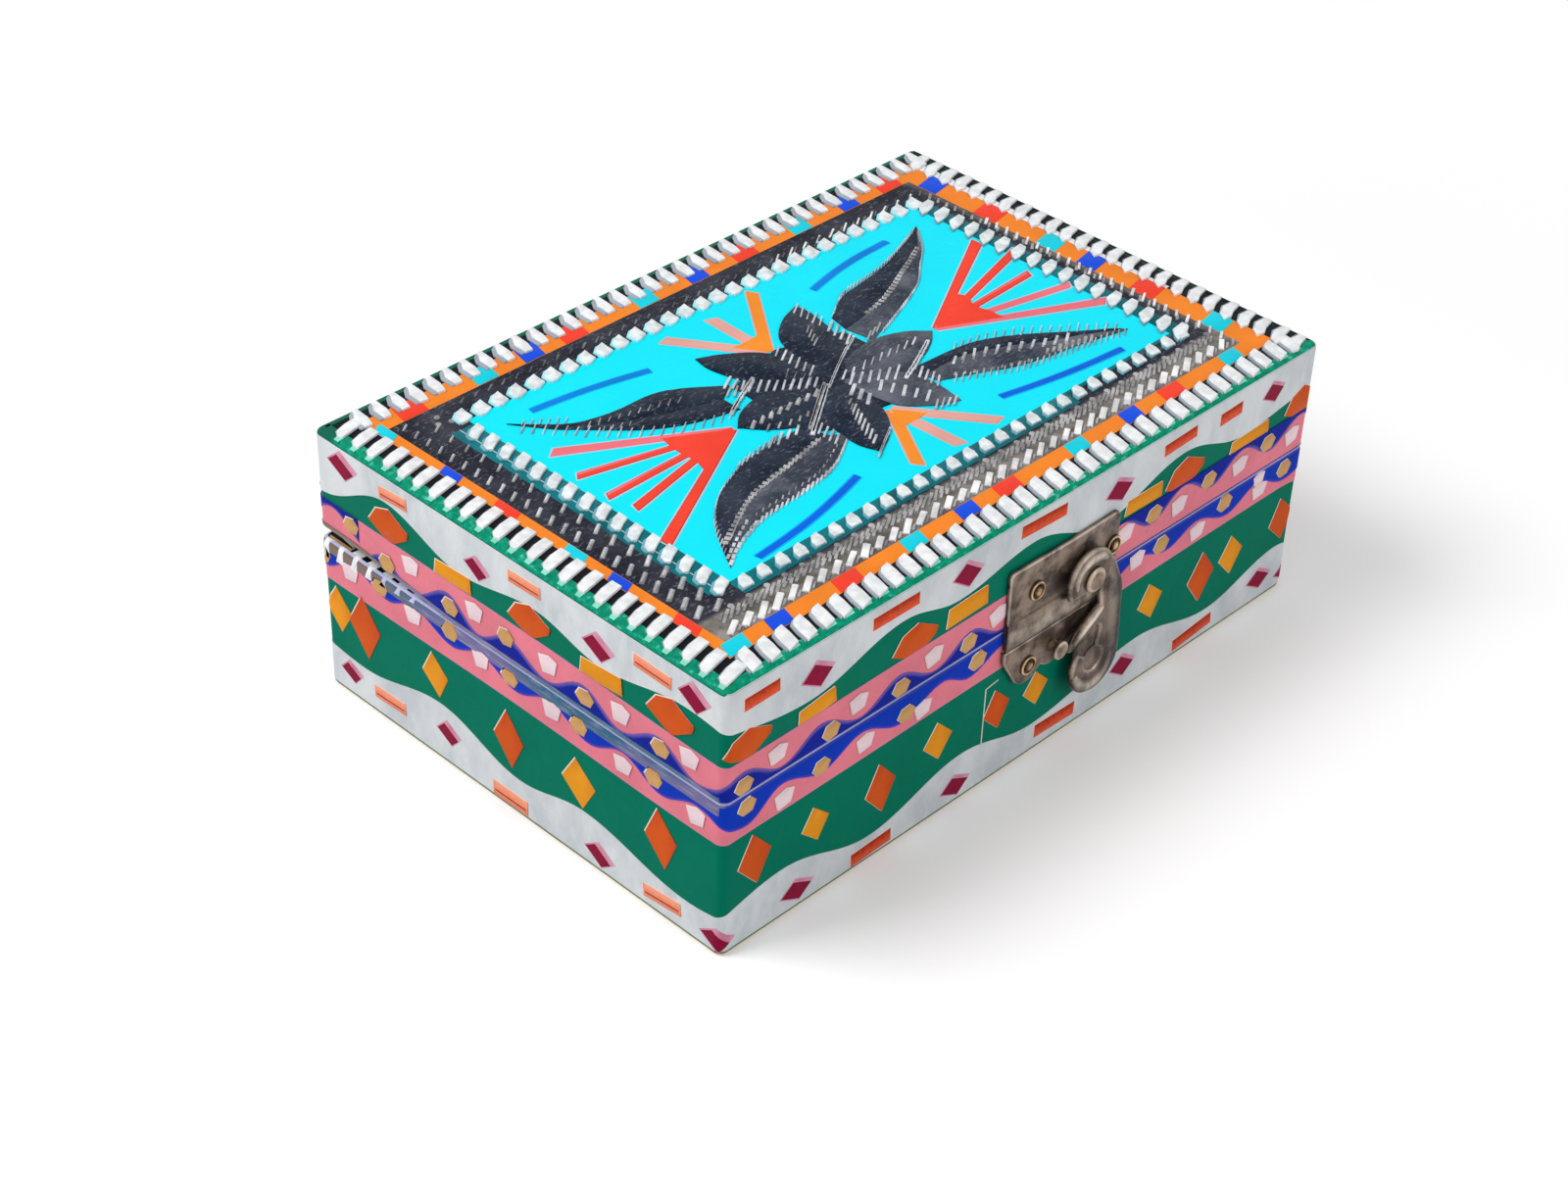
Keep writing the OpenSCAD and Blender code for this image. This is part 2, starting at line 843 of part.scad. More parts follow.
// Tapered bar between two round ends
module bar(a, ra, b, rb) {
    hull() {
        translate(a) circle(ra, $fn = 32);
        translate(b) circle(rb, $fn = 32);
    }
}

// Outline of the hook about its rivet: an eye, a bar down its right, a finger curl and a beak
module hook_outline() {
    curl_at = [3.4, -19.8];
    difference() {
        union() {
            difference() {
                translate([-0.3, 0.2]) circle(eye_r);
                translate([-8, -10]) square([10.6, 7.4]);
            }
            bar([3.2, 1.2], 2.8, [6.2, -5.5], 2.9);
            bar([6.2, -5.5], 2.9, [7, -19], 2.9);
            translate(curl_at) circle(curl_r);
        }
        // Mouth of the curl, towards the beak
        polygon([[1.4, -16.6], [3.8, -12.2], [1.6, -11.4], [-3, -14.6], [-1.4, -16]]);
    }
    bar([6, -8.2], 2, [-2.6, -12], 1.2);
    bar([-2.6, -12], 1.2, [-4.2, -13.6], 0.8);
}

module clasp_hook() {
    color("rosybrown") difference() {
        translate([pivot_x, 0, pivot_z]) front_slab(hook_back_y, hook_face_y) hook_outline();
        front_bar([pivot_x, pivot_z], rivet_r + 0.06, hook_back_y + 1, hook_face_y - 1);
        // Sunk field inside the finger curl
        front_bar([pivot_x + 2.6, pivot_z - 18.8], 2.3, hook_face_y + hook_t / 2, hook_face_y - 1);
    }
}

floor_panel();
base_front_wall();
base_back_wall();
base_left_wall();
base_right_wall();
floor_felt();
base_green_tape();
base_white_band();
base_pink_strip();
base_blue_wave();
base_orange_cuts();
base_yellow_cuts();
base_crimson_cuts();
base_tan_spots();
base_pale_spots();
base_rim_tape();
hinge_lower_leaves();
hinge_lower_screws();
hinge_pins();
catch_plate();
catch_post();
catch_plate_nails();
lid_top_panel();
lid_front_wall();
lid_back_wall();
lid_left_wall();
lid_right_wall();
lid_green_tape();
lid_white_band();
lid_pink_strip();
lid_blue_wave();
lid_orange_cuts();
lid_yellow_cuts();
lid_crimson_cuts();
lid_tan_spots();
lid_pale_spots();
lid_rim_tape();
top_green_sheet();
top_black_border();
top_orange_border();
top_dark_band();
top_cyan_field();
outer_teeth();
inner_teeth();
cyan_chips();
blue_chips();
red_chips();
long_petals();
short_petals();
red_rays();
orange_rays();
blue_dashes();
hinge_upper_leaves();
hinge_upper_screws();
clasp_plate();
clasp_plate_nails();
clasp_rivet();
clasp_hook();
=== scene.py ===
import math
import random
from bisect import bisect_right

import bmesh
import bpy
from mathutils import Matrix, Vector

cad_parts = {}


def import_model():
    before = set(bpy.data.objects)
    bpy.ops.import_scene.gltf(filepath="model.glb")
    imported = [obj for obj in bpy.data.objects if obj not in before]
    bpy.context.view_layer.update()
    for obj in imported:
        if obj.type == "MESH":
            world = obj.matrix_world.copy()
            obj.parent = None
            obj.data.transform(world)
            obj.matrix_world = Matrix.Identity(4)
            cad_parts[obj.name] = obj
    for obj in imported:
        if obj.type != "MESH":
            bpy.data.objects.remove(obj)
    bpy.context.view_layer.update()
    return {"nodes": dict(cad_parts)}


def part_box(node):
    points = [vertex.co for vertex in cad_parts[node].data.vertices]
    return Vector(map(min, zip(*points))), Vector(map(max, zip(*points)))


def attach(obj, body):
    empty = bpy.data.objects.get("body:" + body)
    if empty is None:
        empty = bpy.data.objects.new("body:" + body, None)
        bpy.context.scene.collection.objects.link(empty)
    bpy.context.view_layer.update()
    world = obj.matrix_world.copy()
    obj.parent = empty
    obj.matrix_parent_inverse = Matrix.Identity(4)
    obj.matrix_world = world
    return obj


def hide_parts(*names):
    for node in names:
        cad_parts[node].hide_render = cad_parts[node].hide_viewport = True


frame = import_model()

# A small wooden box with a hinged lid, covered in cut and layered tape.
# Lengths are in millimetres, and MM turns them into metres.
MM = 0.001
QUARTER = math.pi / 2
PRESS_ANGLE = math.radians(33)
DICE = random.Random(11)


def lerp(a, b, t):
    return a + (b - a) * t


def clamp(value, low, high):
    return max(low, min(high, value))


# Sizes read from the frame

def box_mm(node):
    """Lowest and highest corner of a CAD node, in millimetres."""
    return [[value / MM for value in corner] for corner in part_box(node)]


def rect_mm(node):
    """Left, front, right and back edge of a CAD node seen from above."""
    low, high = box_mm(node)
    return low[0], low[1], high[0], high[1]


HALF_L, HALF_W, PANEL_T = box_mm("floor_panel")[1]
WALL = HALF_L + box_mm("base_left_wall")[1][0]
BASE_RIM = box_mm("base_rim_tape")[0][2]
BASE_TAPE_RIM = box_mm("base_rim_tape")[1][2]
TAPE = BASE_TAPE_RIM - BASE_RIM
LID_RIM = box_mm("lid_rim_tape")[0][2] + TAPE
BACK_RIM = box_mm("lid_rim_tape")[1][2]
LID_TOP = box_mm("lid_top_panel")[1][2]
FOOT = box_mm("base_green_tape")[0][2]
SHEET_Z = box_mm("top_black_border")[0][2]
EMBOSS_Z = box_mm("outer_teeth")[0][2]
TOP_Z = box_mm("short_petals")[1][2]

# Places on the sides are given as distances down from this height
PICTURE_TOP = 55.3

# Rounding of the wooden edges
CORNER = 1.5
RIM_ROLL = 0.5
TOP_ROLL = 1.0
FOOT_ROLL = 0.5

# The lid's rim slopes up to the wide gap over the hinges between these two places
WIDE_Y = HALF_W - 9
SLOPE_Y = WIDE_Y - 26


def lid_rim(y):
    """Height of the lid's wooden rim at distance y behind the middle."""
    return lerp(LID_RIM, BACK_RIM, clamp((y - SLOPE_Y) / (WIDE_Y - SLOPE_Y), 0, 1))


# The way round the box: left side, front, right side and back, each from left to right seen from outside
SKIN = 0.3
SIDE_W = 2 * (HALF_W + SKIN)
SIDE_L = 2 * (HALF_L + SKIN)
LEFT, FRONT, RIGHT, BACK = 0, SIDE_W, SIDE_W + SIDE_L, 2 * SIDE_W + SIDE_L
ROUND = 2 * (SIDE_W + SIDE_L)
SIDES = [
    (LEFT, SIDE_W, HALF_W, HALF_L, (0, -1), (-1, 0)),
    (FRONT, SIDE_L, HALF_L, HALF_W, (1, 0), (0, -1)),
    (RIGHT, SIDE_W, HALF_W, HALF_L, (0, 1), (1, 0)),
    (BACK, SIDE_L, HALF_L, HALF_W, (-1, 0), (0, 1)),
]
BEND = CORNER + SKIN
BENDS = sorted(turn * ROUND + corner + BEND * step / 5
               for turn in (0, 1) for corner in (LEFT, FRONT, RIGHT, BACK) for step in range(-5, 6))
ALL_ROUND = [u for u in BENDS if BEND < u < ROUND + BEND]


def outline(u):
    """Point of the wood's outline at distance u round the box, and the direction outwards there."""
    u %= ROUND
    start, length, half_along, half_out, along, out = SIDES[bisect_right([s[0] for s in SIDES], u) - 1]
    middle = u - start - length / 2
    over = abs(middle) - (half_along - CORNER)
    angle = max(0, over) / BEND * QUARTER / 2
    side = math.copysign(1, middle)
    forward = middle if over <= 0 else side * (half_along - CORNER + CORNER * math.sin(angle))
    outward = half_out - CORNER + CORNER * math.cos(angle)
    turned = side * math.sin(angle)
    point = [along[i] * forward + out[i] * outward for i in (0, 1)]
    normal = [along[i] * turned + out[i] * math.cos(angle) for i in (0, 1)]
    return point, normal


class Shell:
    """The outside of the base or the lid, where tape rolls over the edges of the wood."""

    def __init__(self, body, low, low_roll, high, high_roll):
        self.body = body
        self.low = low
        self.low_roll = low_roll
        self.high = high
        self.high_roll = high_roll

    def rim(self, y, lift):
        """Height at lift off the wooden rim, towards the gap between the base and the lid."""
        return self.high + lift if self.body == "base" else self.low(y) - lift

    def reach(self, y):
        """Lowest and highest place that tape can have, measured along it."""
        spare = QUARTER - 1
        return self.low(y) - spare * self.low_roll, self.high + spare * self.high_roll

    def bends(self, y):
        """Heights at which a section needs a point to follow the rolled edges."""
        steps = 4
        low_flat = self.low(y) + self.low_roll
        high_flat = self.high - self.high_roll
        lower = [low_flat - QUARTER * self.low_roll * i / steps for i in range(steps, -1, -1)]
        upper = [high_flat + QUARTER * self.high_roll * i / steps for i in range(steps + 1)]
        return lower + upper

    def place(self, u, v, d):
        """Point at u round the box and v up the tape, d off the wood."""
        (x, y), (nx, ny) = outline(u)
        push, z = d, v
        over = v - (self.high - self.high_roll)
        under = self.low(y) + self.low_roll - v
        if self.high_roll and over > 0:
            angle = over / self.high_roll
            push = (self.high_roll + d) * math.cos(angle) - self.high_roll
            z = self.high - self.high_roll + (self.high_roll + d) * math.sin(angle)
        if self.low_roll and under > 0:
            angle = under / self.low_roll
            push = (self.low_roll + d) * math.cos(angle) - self.low_roll
            z = self.low(y) + self.low_roll - (self.low_roll + d) * math.sin(angle)
        return x + nx * push, y + ny * push, z


BASE = Shell("base", lambda y: FOOT, 0, BASE_RIM, RIM_ROLL)
LID = Shell("lid", lid_rim, RIM_ROLL, LID_TOP, TOP_ROLL)


# Building meshes

# Points that lie nearer to each other than this are joined
MERGE = 0.0004 * MM


class Form:
    """Points, faces, material numbers and tones of one piece."""

    def __init__(self):
        self.points = []
        self.tones = []
        self.faces = []
        self.numbers = []

    def row(self, points, tones=0.0):
        """Adds points and returns their numbers."""
        first = len(self.points)
        self.points += points
        self.tones += tones if isinstance(tones, list) else [tones] * len(points)
        return list(range(first, len(self.points)))

    def face(self, numbers, look=0):
        self.faces.append(numbers)
        self.numbers.append(look)

    def span(self, a, b, look=0, closed=True):
        """Joins two equal rows with a band of faces."""
        count = len(a)
        for i in range(count if closed else count - 1):
            j = (i + 1) % count
            self.face([a[i], a[j], b[j], b[i]], look)

    def tube(self, rows, look=0, around=False):
        """Joins closed sections one after another, with caps or around in a ring."""
        for a, b in zip(rows, rows[1:]):
            self.span(a, b, look)
        if around:
            self.span(rows[-1], rows[0], look)
        else:
            self.face(rows[0], look)
            self.face(rows[-1], look)


def add_object(name, data):
    made = bpy.data.objects.new(name, data)
    bpy.context.scene.collection.objects.link(made)
    return made


def piece(name, form, looks, body, slot, replaced=(), sharp=38):
    """Makes an object from a form. It rides on a body and stands for the CAD nodes in replaced."""
    mesh = bpy.data.meshes.new(name)
    mesh.from_pydata([Vector(p) * MM for p in form.points], [], form.faces)
    mesh.polygons.foreach_set("material_index", form.numbers)
    tone = mesh.attributes.new("tone", "FLOAT", "POINT")
    tone.data.foreach_set("value", form.tones)
    for look in looks:
        mesh.materials.append(look)
    shape = bmesh.new()
    shape.from_mesh(mesh)
    bmesh.ops.remove_doubles(shape, verts=shape.verts, dist=MERGE)
    bmesh.ops.dissolve_degenerate(shape, edges=shape.edges, dist=MERGE)
    bmesh.ops.recalc_face_normals(shape, faces=shape.faces)
    shape.to_mesh(mesh)
    shape.free()
    mesh.shade_smooth()
    mesh.set_sharp_from_angle(angle=math.radians(sharp))
    made = add_object(name, mesh)
    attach(made, body)
    if replaced:
        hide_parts(*replaced)
    return made


def left_of(way):
    """Direction to the left of a way seen from above, or from the front on the latch."""
    return Vector((-way.y, way.x))


def inset(points, amount):
    """The same outline drawn in by amount along every edge."""
    turn = sum(a[0] * b[1] - b[0] * a[1] for a, b in zip(points, points[1:] + points[:1]))
    side = math.copysign(amount, turn)
    drawn = []
    for i, here in enumerate(points):
        back = Vector(here) - Vector(points[i - 1])
        ahead = Vector(points[(i + 1) % len(points)]) - Vector(here)
        m = left_of(back).normalized()
        n = left_of(ahead).normalized()
        shift = (m + n) * side / max(0.35, 1 + m.dot(n))
        drawn.append((here[0] + shift.x, here[1] + shift.y))
    return drawn


def flat(x, y, h):
    return x, y, h


def pad(form, points, low, high, round_by=0.08, steps=2, place=flat, look=0, base=0.35, wear_and_highlight_tone=0.0):
    """Raised plate of an outline with a rounded top edge. base is the share of its height that is upright,
    and the last number is the tone of the rounded edge, which paints wear and a highlight on metal."""
    upright = lerp(low, high, base)

    def ring(drawn, height, tone=0.0):
        return form.row([place(x, y, height) for x, y in drawn], tone)

    rings = [ring(points, low)]
    for step in range(steps + 1):
        angle = QUARTER * step / steps
        drawn = inset(points, round_by * (1 - math.cos(angle)))
        rings.append(ring(drawn, upright + (high - upright) * math.sin(angle), wear_and_highlight_tone * math.sin(2 * angle)))
    form.tube(rings, look)


def smooth_line(points):
    """Smooth line through all points."""
    steps = 5
    points = [Vector(p) for p in points]
    ends = [2 * points[0] - points[1]] + points + [2 * points[-1] - points[-2]]
    line = []
    for a, b, c, d in zip(ends, ends[1:], ends[2:], ends[3:]):
        for step in range(steps):
            t = step / steps
            line.append(0.5 * (2 * b + (c - a) * t + (2 * a - 5 * b + 4 * c - d) * t * t
                               + (3 * b - a - 3 * c + d) * t ** 3))
    return line + [points[-1]]


def along_line(line, spacing, start):
    """Points at equal spacing along a line, the first at start."""
    found, left = [], start
    for a, b in zip(line, line[1:]):
        step = b - a
        while left < step.length:
            found.append(a + step.normalized() * left)
            left += spacing
        left -= step.length
    return found


def arc(centre, radius, start, end, steps):
    """Points of an arc, angles in degrees from the first axis towards the second."""
    angles = [math.radians(lerp(start, end, i / steps)) for i in range(steps + 1)]
    return [(centre[0] + radius * math.cos(a), centre[1] + radius * math.sin(a)) for a in angles]


# Looks

def srgb(*rgb):
    """Linear colour of an 8-bit screen colour."""
    return [((c / 255 + 0.055) / 1.055) ** 2.4 if c > 10 else c / 255 / 12.92 for c in rgb] + [1]


class Nodes:
    """The nodes of a material or a world, and short ways to add to them."""

    def __init__(self, owner):
        owner.use_nodes = True
        self.tree = owner.node_tree

    def node(self, kind, **settings):
        made = self.tree.nodes.new(kind)
        for key, value in settings.items():
            setattr(made, key, value)
        return made

    def link(self, start, end):
        self.tree.links.new(start, end)

    def math(self, operation, a, b=None, clamped=False):
        made = self.node("ShaderNodeMath", operation=operation, use_clamp=clamped)
        self.link(a, made.inputs[0])
        if b is not None:
            self.link(b, made.inputs[1])
        return made.outputs[0]

    def remap(self, value, low, high, to_low=0.0, to_high=1.0):
        made = self.node("ShaderNodeMapRange")
        for slot, number in zip(range(1, 5), (low, high, to_low, to_high)):
            made.inputs[slot].default_value = number
        self.link(value, made.inputs[0])
        return made.outputs[0]

    def seen_by(self, first, *others):
        """1 where a ray is of one of the kinds, and 0 elsewhere."""
        rays = self.node("ShaderNodeLightPath").outputs
        share = rays[first]
        for kind in others:
            share = self.math("MAXIMUM", share, rays[kind])
        return share


class Look(Nodes):
    """A material and its surface."""

    def __init__(self, name, rough, metal=0.0, shine=0.05):
        self.material = bpy.data.materials.new(name)
        super().__init__(self.material)
        self.shader = self.tree.nodes["Principled BSDF"]
        self.shader.inputs["Roughness"].default_value = rough
        self.shader.inputs["Metallic"].default_value = metal
        self.shader.inputs["Specular IOR Level"].default_value = shine
        self.where = self.node("ShaderNodeTexCoord").outputs["Object"]

    def noise(self, scale, detail=3.0, rough=0.5, turn=(0, 0, 0)):
        """Noise of one scale, or stretched and turned where the scale is given along x, y and z."""
        made = self.node("ShaderNodeTexNoise")
        made.inputs["Detail"].default_value = detail
        made.inputs["Roughness"].default_value = rough
        where = self.where
        if isinstance(scale, tuple):
            mapping = self.node("ShaderNodeMapping")
            mapping.inputs["Scale"].default_value = scale
            mapping.inputs["Rotation"].default_value = turn
            self.link(where, mapping.inputs["Vector"])
            where, scale = mapping.outputs["Vector"], 1.0
        made.inputs["Scale"].default_value = scale
        self.link(where, made.inputs["Vector"])
        return made.outputs["Fac"]

    def along(self, axis):
        """Coordinate along X, Y or Z."""
        parts = self.node("ShaderNodeSeparateXYZ")
        self.link(self.where, parts.inputs[0])
        return parts.outputs[axis]

    def ramp(self, axis, start, end, to_low=0.0, to_high=1.0):
        """Number that changes between two places along an axis, in millimetres."""
        return self.remap(self.along(axis), start * MM, end * MM, to_low, to_high)

    def mix(self, share, a, b):
        """Colour a where share is 0 and b where it is 1. Each is a colour or a socket."""
        made = self.node("ShaderNodeMix", data_type="RGBA")
        for socket, value in ((made.inputs[0], share), (made.inputs[6], a), (made.inputs[7], b)):
            if isinstance(value, (list, tuple, float, int)):
                socket.default_value = value
            else:
                self.link(value, socket)
        return made.outputs[2]

    def paint(self, colour):
        if isinstance(colour, list):
            self.shader.inputs["Base Color"].default_value = colour
        else:
            self.link(colour, self.shader.inputs["Base Color"])

    def tone(self):
        """The tone that the mesh carries at each point."""
        return self.node("ShaderNodeAttribute", attribute_name="tone").outputs["Fac"]

    def bump(self, layers):
        """Bump from (height, strength, depth in millimetres) layers, one over another."""
        normal = None
        for height, strength, depth in layers:
            made = self.node("ShaderNodeBump")
            made.inputs["Strength"].default_value = strength
            made.inputs["Distance"].default_value = depth * MM
            self.link(height, made.inputs["Height"])
            if normal:
                self.link(normal, made.inputs["Normal"])
            normal = made.outputs["Normal"]
        self.link(normal, self.shader.inputs["Normal"])

    def vary_roughness(self, value, low, high):
        self.link(self.remap(value, 0.3, 0.7, low, high), self.shader.inputs["Roughness"])


def darker(colour, share):
    return [c * share for c in colour[:3]] + [1]


def tape_look(name, colour, fringe=None, gloss=(0.24, 0.38), crease=0.25, shade=0.86, shine=0.05, cloud=90):
    """Vinyl tape: slightly uneven colour, fine creases and a hand-rubbed gloss."""
    look = Look(name, sum(gloss) / 2, shine=shine)
    cloudy = look.noise(cloud, 4)
    colour = look.mix(look.remap(cloudy, 0.35, 0.65), darker(colour, shade), colour)
    if fringe:
        colour = look.mix(look.tone(), colour, fringe)
    look.paint(colour)
    look.vary_roughness(look.noise(400, 2), *gloss)
    ripples = look.noise((60, 60, 132), 3)
    look.bump([(ripples, crease, 0.5), (look.noise(900, 2), 0.10, 0.05)])
    return look.material


def white_look():
    """White vinyl with soft folds that run down it: bumped, with painted grey shade in the folds and paler
    painted streaks of light.
    """
    look = Look("white_vinyl", 0.38)
    folds = look.noise((130, 130, 70), 4, 0.55, (0.6, 0.6, 0))
    fine = look.noise((420, 420, 180), 3, 0.6, (0.9, 0.9, 0))
    colour = look.mix(look.remap(folds, 0.36, 0.62), srgb(192, 198, 203), srgb(213, 217, 220))
    colour = look.mix(look.remap(fine, 0.5, 0.75, 0, 0.5), colour, srgb(220, 224, 226))
    look.paint(colour)
    look.bump([(folds, 1.0, 0.9), (fine, 0.35, 0.12)])
    return look.material


def fold_look():
    """Green tape folded over the top edges, painted brighter than the sides as light falls on the top, with
    pale painted glints. It is dark at the back."""
    look = Look("green_fold_lit", 0.3)
    glints = look.noise((700, 700, 1800), 3, 0.6)
    # Painted light: a brighter green than on the sides, and pale painted glints
    colour = look.mix(look.remap(glints, 0.36, 0.6), srgb(0, 124, 96), srgb(6, 154, 120))
    colour = look.mix(look.remap(glints, 0.6, 0.78, 0, 0.8), colour, srgb(122, 222, 196))
    look.paint(look.mix(look.ramp("Y", 44, 46), colour, srgb(14, 98, 78)))
    look.bump([(glints, 0.5, 0.15)])
    return look.material


def foil_look(name, colour, sheen, patch=110, share=0.6):
    """Dark embossed foil with soft patches of painted sheen, fine scratches along the pressing that also take
    the painted sheen, and pale painted glints.
    """
    look = Look(name, 0.3, shine=0.04)
    pressed = (0, 0, -PRESS_ANGLE)
    patches = look.noise(patch, 4, 0.55)
    scratches = look.noise((420, 2600, 420), 3, 0.6, pressed)
    painted_glints = look.noise((900, 2000, 900), 2, 0.6, pressed)
    colour = look.mix(look.remap(patches, 0.42, 0.72, 0, share), colour, sheen)
    colour = look.mix(look.remap(scratches, 0.55, 0.8, 0, share), colour, sheen)
    colour = look.mix(look.remap(painted_glints, 0.57, 0.72, 0, 0.5), colour, srgb(128, 132, 142))
    look.paint(colour)
    look.vary_roughness(look.noise(400, 2), 0.26, 0.44)
    look.bump([(scratches, 0.5, 0.12), (painted_glints, 0.4, 0.08), (patches, 0.2, 0.3)])
    return look


def band_look():
    """Foil of the dark band, which turns to pale grey along the front and the right."""
    look = foil_look("band_foil", srgb(28, 30, 42), srgb(76, 78, 88))
    dark = look.shader.inputs["Base Color"].links[0].from_socket
    pale = look.mix(look.remap(look.noise(300, 4), 0.35, 0.65), srgb(92, 86, 80), srgb(150, 144, 138))
    right = look.mix(look.ramp("X", 63, 64, 0, 0.5), dark, pale)
    look.paint(look.mix(look.ramp("Y", -34.3, -35.4), right, pale))
    return look.material


def dash_look():
    """Red-orange dashes, paler on the short sides, with a dark upper edge on the front and a painted glare
    towards the upper edge on the short sides.
    """
    look = Look("dash_vinyl", 0.3)
    across = look.math("ABSOLUTE", look.along("X"))
    short = look.remap(across, (HALF_L - 0.6) * MM, (HALF_L - 0.3) * MM)
    mottled = look.remap(look.noise(1100, 3), 0.3, 0.7, -0.25, 0.25)
    upper = look.math("ADD", look.tone(), mottled, True)
    low_colour = look.mix(short, srgb(226, 80, 34), srgb(238, 122, 82))
    # On the short sides the upper colour paints a glare
    high_colour = look.mix(short, srgb(168, 46, 26), srgb(240, 158, 130))
    look.paint(look.mix(upper, low_colour, high_colour))
    look.bump([(look.noise(500, 2), 0.3, 0.1)])
    return look.material


def seam_look():
    """Clear film folded over the rims: grey, teal and lilac, brown near the back and blue on the front."""
    look = Look("seam_film", 0.25, shine=0.2)
    stretches = look.noise((30, 30, 160), 2)
    streaks = look.noise((260, 260, 1500), 3)
    colour = look.mix(look.remap(stretches, 0.42, 0.56), srgb(104, 98, 144), srgb(40, 92, 124))
    colour = look.mix(look.remap(streaks, 0.5, 0.8, 0, 0.5), colour, srgb(166, 166, 192))
    colour = look.mix(look.ramp("Y", 22, 40), colour, srgb(118, 98, 88))
    look.paint(look.mix(look.ramp("Y", -(HALF_W - 0.3), -HALF_W), colour, srgb(40, 50, 164)))
    look.bump([(streaks, 0.4, 0.15)])
    return look.material


def wood_look(name, scale):
    """Pale wood with its grain along the axis of the smallest scale."""
    look = Look(name, 0.6, shine=0.3)
    streaks = look.noise(scale, 6, 0.6)
    bands = look.noise(tuple(s * 0.22 for s in scale), 3)
    colour = look.mix(look.remap(bands, 0.35, 0.7), srgb(214, 178, 128), srgb(190, 146, 96))
    colour = look.mix(look.remap(streaks, 0.52, 0.8, 0, 0.75), colour, srgb(140, 98, 60))
    look.paint(colour)
    look.vary_roughness(streaks, 0.5, 0.72)
    look.bump([(streaks, 0.35, 0.2)])
    return look.material


def metal_look(name, colour, bright, rough, wear_and_highlight=None, patch=220, metal=0.9, dull=None):
    """Worn cast or stamped metal: dark in the hollows, with wear and a painted highlight where the tone
    rises, and perhaps painted shade towards the second of two places along x."""
    look = Look(name, 0.4, metal=metal, shine=0.3)
    patches = look.noise(patch, 4, 0.6)
    colour = look.mix(look.remap(patches, 0.4, 0.62), colour, bright)
    # Where the tone rises, the last colour paints wear and a highlight
    if wear_and_highlight:
        wear_and_highlight_tone = look.math("MULTIPLY", look.tone(), look.remap(patches, 0.36, 0.6, 0.35, 1.15))
        colour = look.mix(wear_and_highlight_tone, colour, wear_and_highlight)
    # Painted shade darkens the metal towards the second place along x
    if dull:
        colour = look.mix(look.ramp("X", *dull, 0, 0.72), colour, srgb(40, 32, 29))
    look.paint(colour)
    look.vary_roughness(look.noise(600, 3), *rough)
    look.bump([(look.noise(260, 4), 0.5, 0.35), (look.noise(1400, 2), 0.3, 0.06)])
    return look.material


PLUMP_GLOSS = (0.25, 0.4)

GREEN = tape_look("green_vinyl", srgb(0, 114, 90), crease=0.18, shade=0.92, shine=0.015)
GREEN_FOLD_LIT = fold_look()
WHITE = white_look()
PINK = tape_look("pink_vinyl", srgb(229, 125, 141), srgb(204, 128, 168))
BLUE = tape_look("blue_vinyl", srgb(18, 36, 150), srgb(116, 96, 172), shine=0.015)
BLUE_LOW = tape_look("blue_vinyl_low", srgb(14, 56, 180), srgb(104, 70, 190), shine=0.015)
ORANGE = tape_look("orange_vinyl", srgb(210, 86, 26), srgb(190, 62, 26), shine=0.025)
YELLOW = tape_look("yellow_vinyl", srgb(230, 150, 30), srgb(208, 118, 30), shine=0.025)
CRIMSON = tape_look("crimson_vinyl", srgb(140, 16, 56), srgb(120, 16, 46), shine=0.025)
# Pale pink film that paints the glare along the upper right of crimson pieces
CRIMSON_GLARE = tape_look("crimson_glare", srgb(208, 128, 156), srgb(214, 170, 186))
DASH = dash_look()
DASH_LINE = tape_look("dash_dark_line", srgb(112, 50, 38))
# Its darker fringe paints shade on the bevel along the right and upper edges
TAN = tape_look("tan_vinyl", srgb(206, 158, 98), srgb(176, 130, 90))
PALE = tape_look("pale_vinyl", srgb(238, 214, 220), srgb(228, 190, 204))
# Pale film that paints the highlight along the edges of cut pieces
FILM_HIGHLIGHT = tape_look("film_edge", srgb(234, 222, 210), gloss=(0.3, 0.4))
BLACK = tape_look("black_vinyl", srgb(14, 15, 22), crease=0.3)
CYAN = tape_look("cyan_vinyl", srgb(10, 232, 252), crease=0.15, shade=0.97)
TEAL = tape_look("teal_film", srgb(14, 120, 130), crease=0.4, shade=0.5)
PLUMP = tape_look("plump_white", srgb(244, 246, 248), None, PLUMP_GLOSS, 0.15, 0.8, cloud=620)
# Lower blocks of the teeth in painted shade: grey, teal and pale cyan
PLUMP_SHADE = tape_look("plump_shaded", srgb(168, 176, 186), None, PLUMP_GLOSS, shade=0.8)
PLUMP_TINT = tape_look("plump_tinted", srgb(240, 247, 249), None, PLUMP_GLOSS, 0.15, 0.72, cloud=620)
PLUMP_TEAL_SHADE = tape_look("plump_teal_shade", srgb(120, 176, 190), None, PLUMP_GLOSS, shade=0.7)
PLUMP_CYAN_SHADE = tape_look("plump_cyan_shade", srgb(166, 240, 248), None, PLUMP_GLOSS, shade=0.8)
MINT = tape_look("mint_film", srgb(146, 228, 206), crease=0.3, shade=0.8)
BORDER = tape_look("border_orange", srgb(250, 138, 42))
CHIP_CYAN = tape_look("chip_cyan", srgb(22, 214, 232))
CHIP_BLUE = tape_look("chip_blue", srgb(24, 82, 228))
RED = tape_look("red_vinyl", srgb(252, 70, 50))
ROSE = tape_look("rose_film", srgb(246, 118, 130))
RAY = tape_look("orange_ray", srgb(252, 148, 46))
PEACH = tape_look("peach_film", srgb(236, 172, 160))
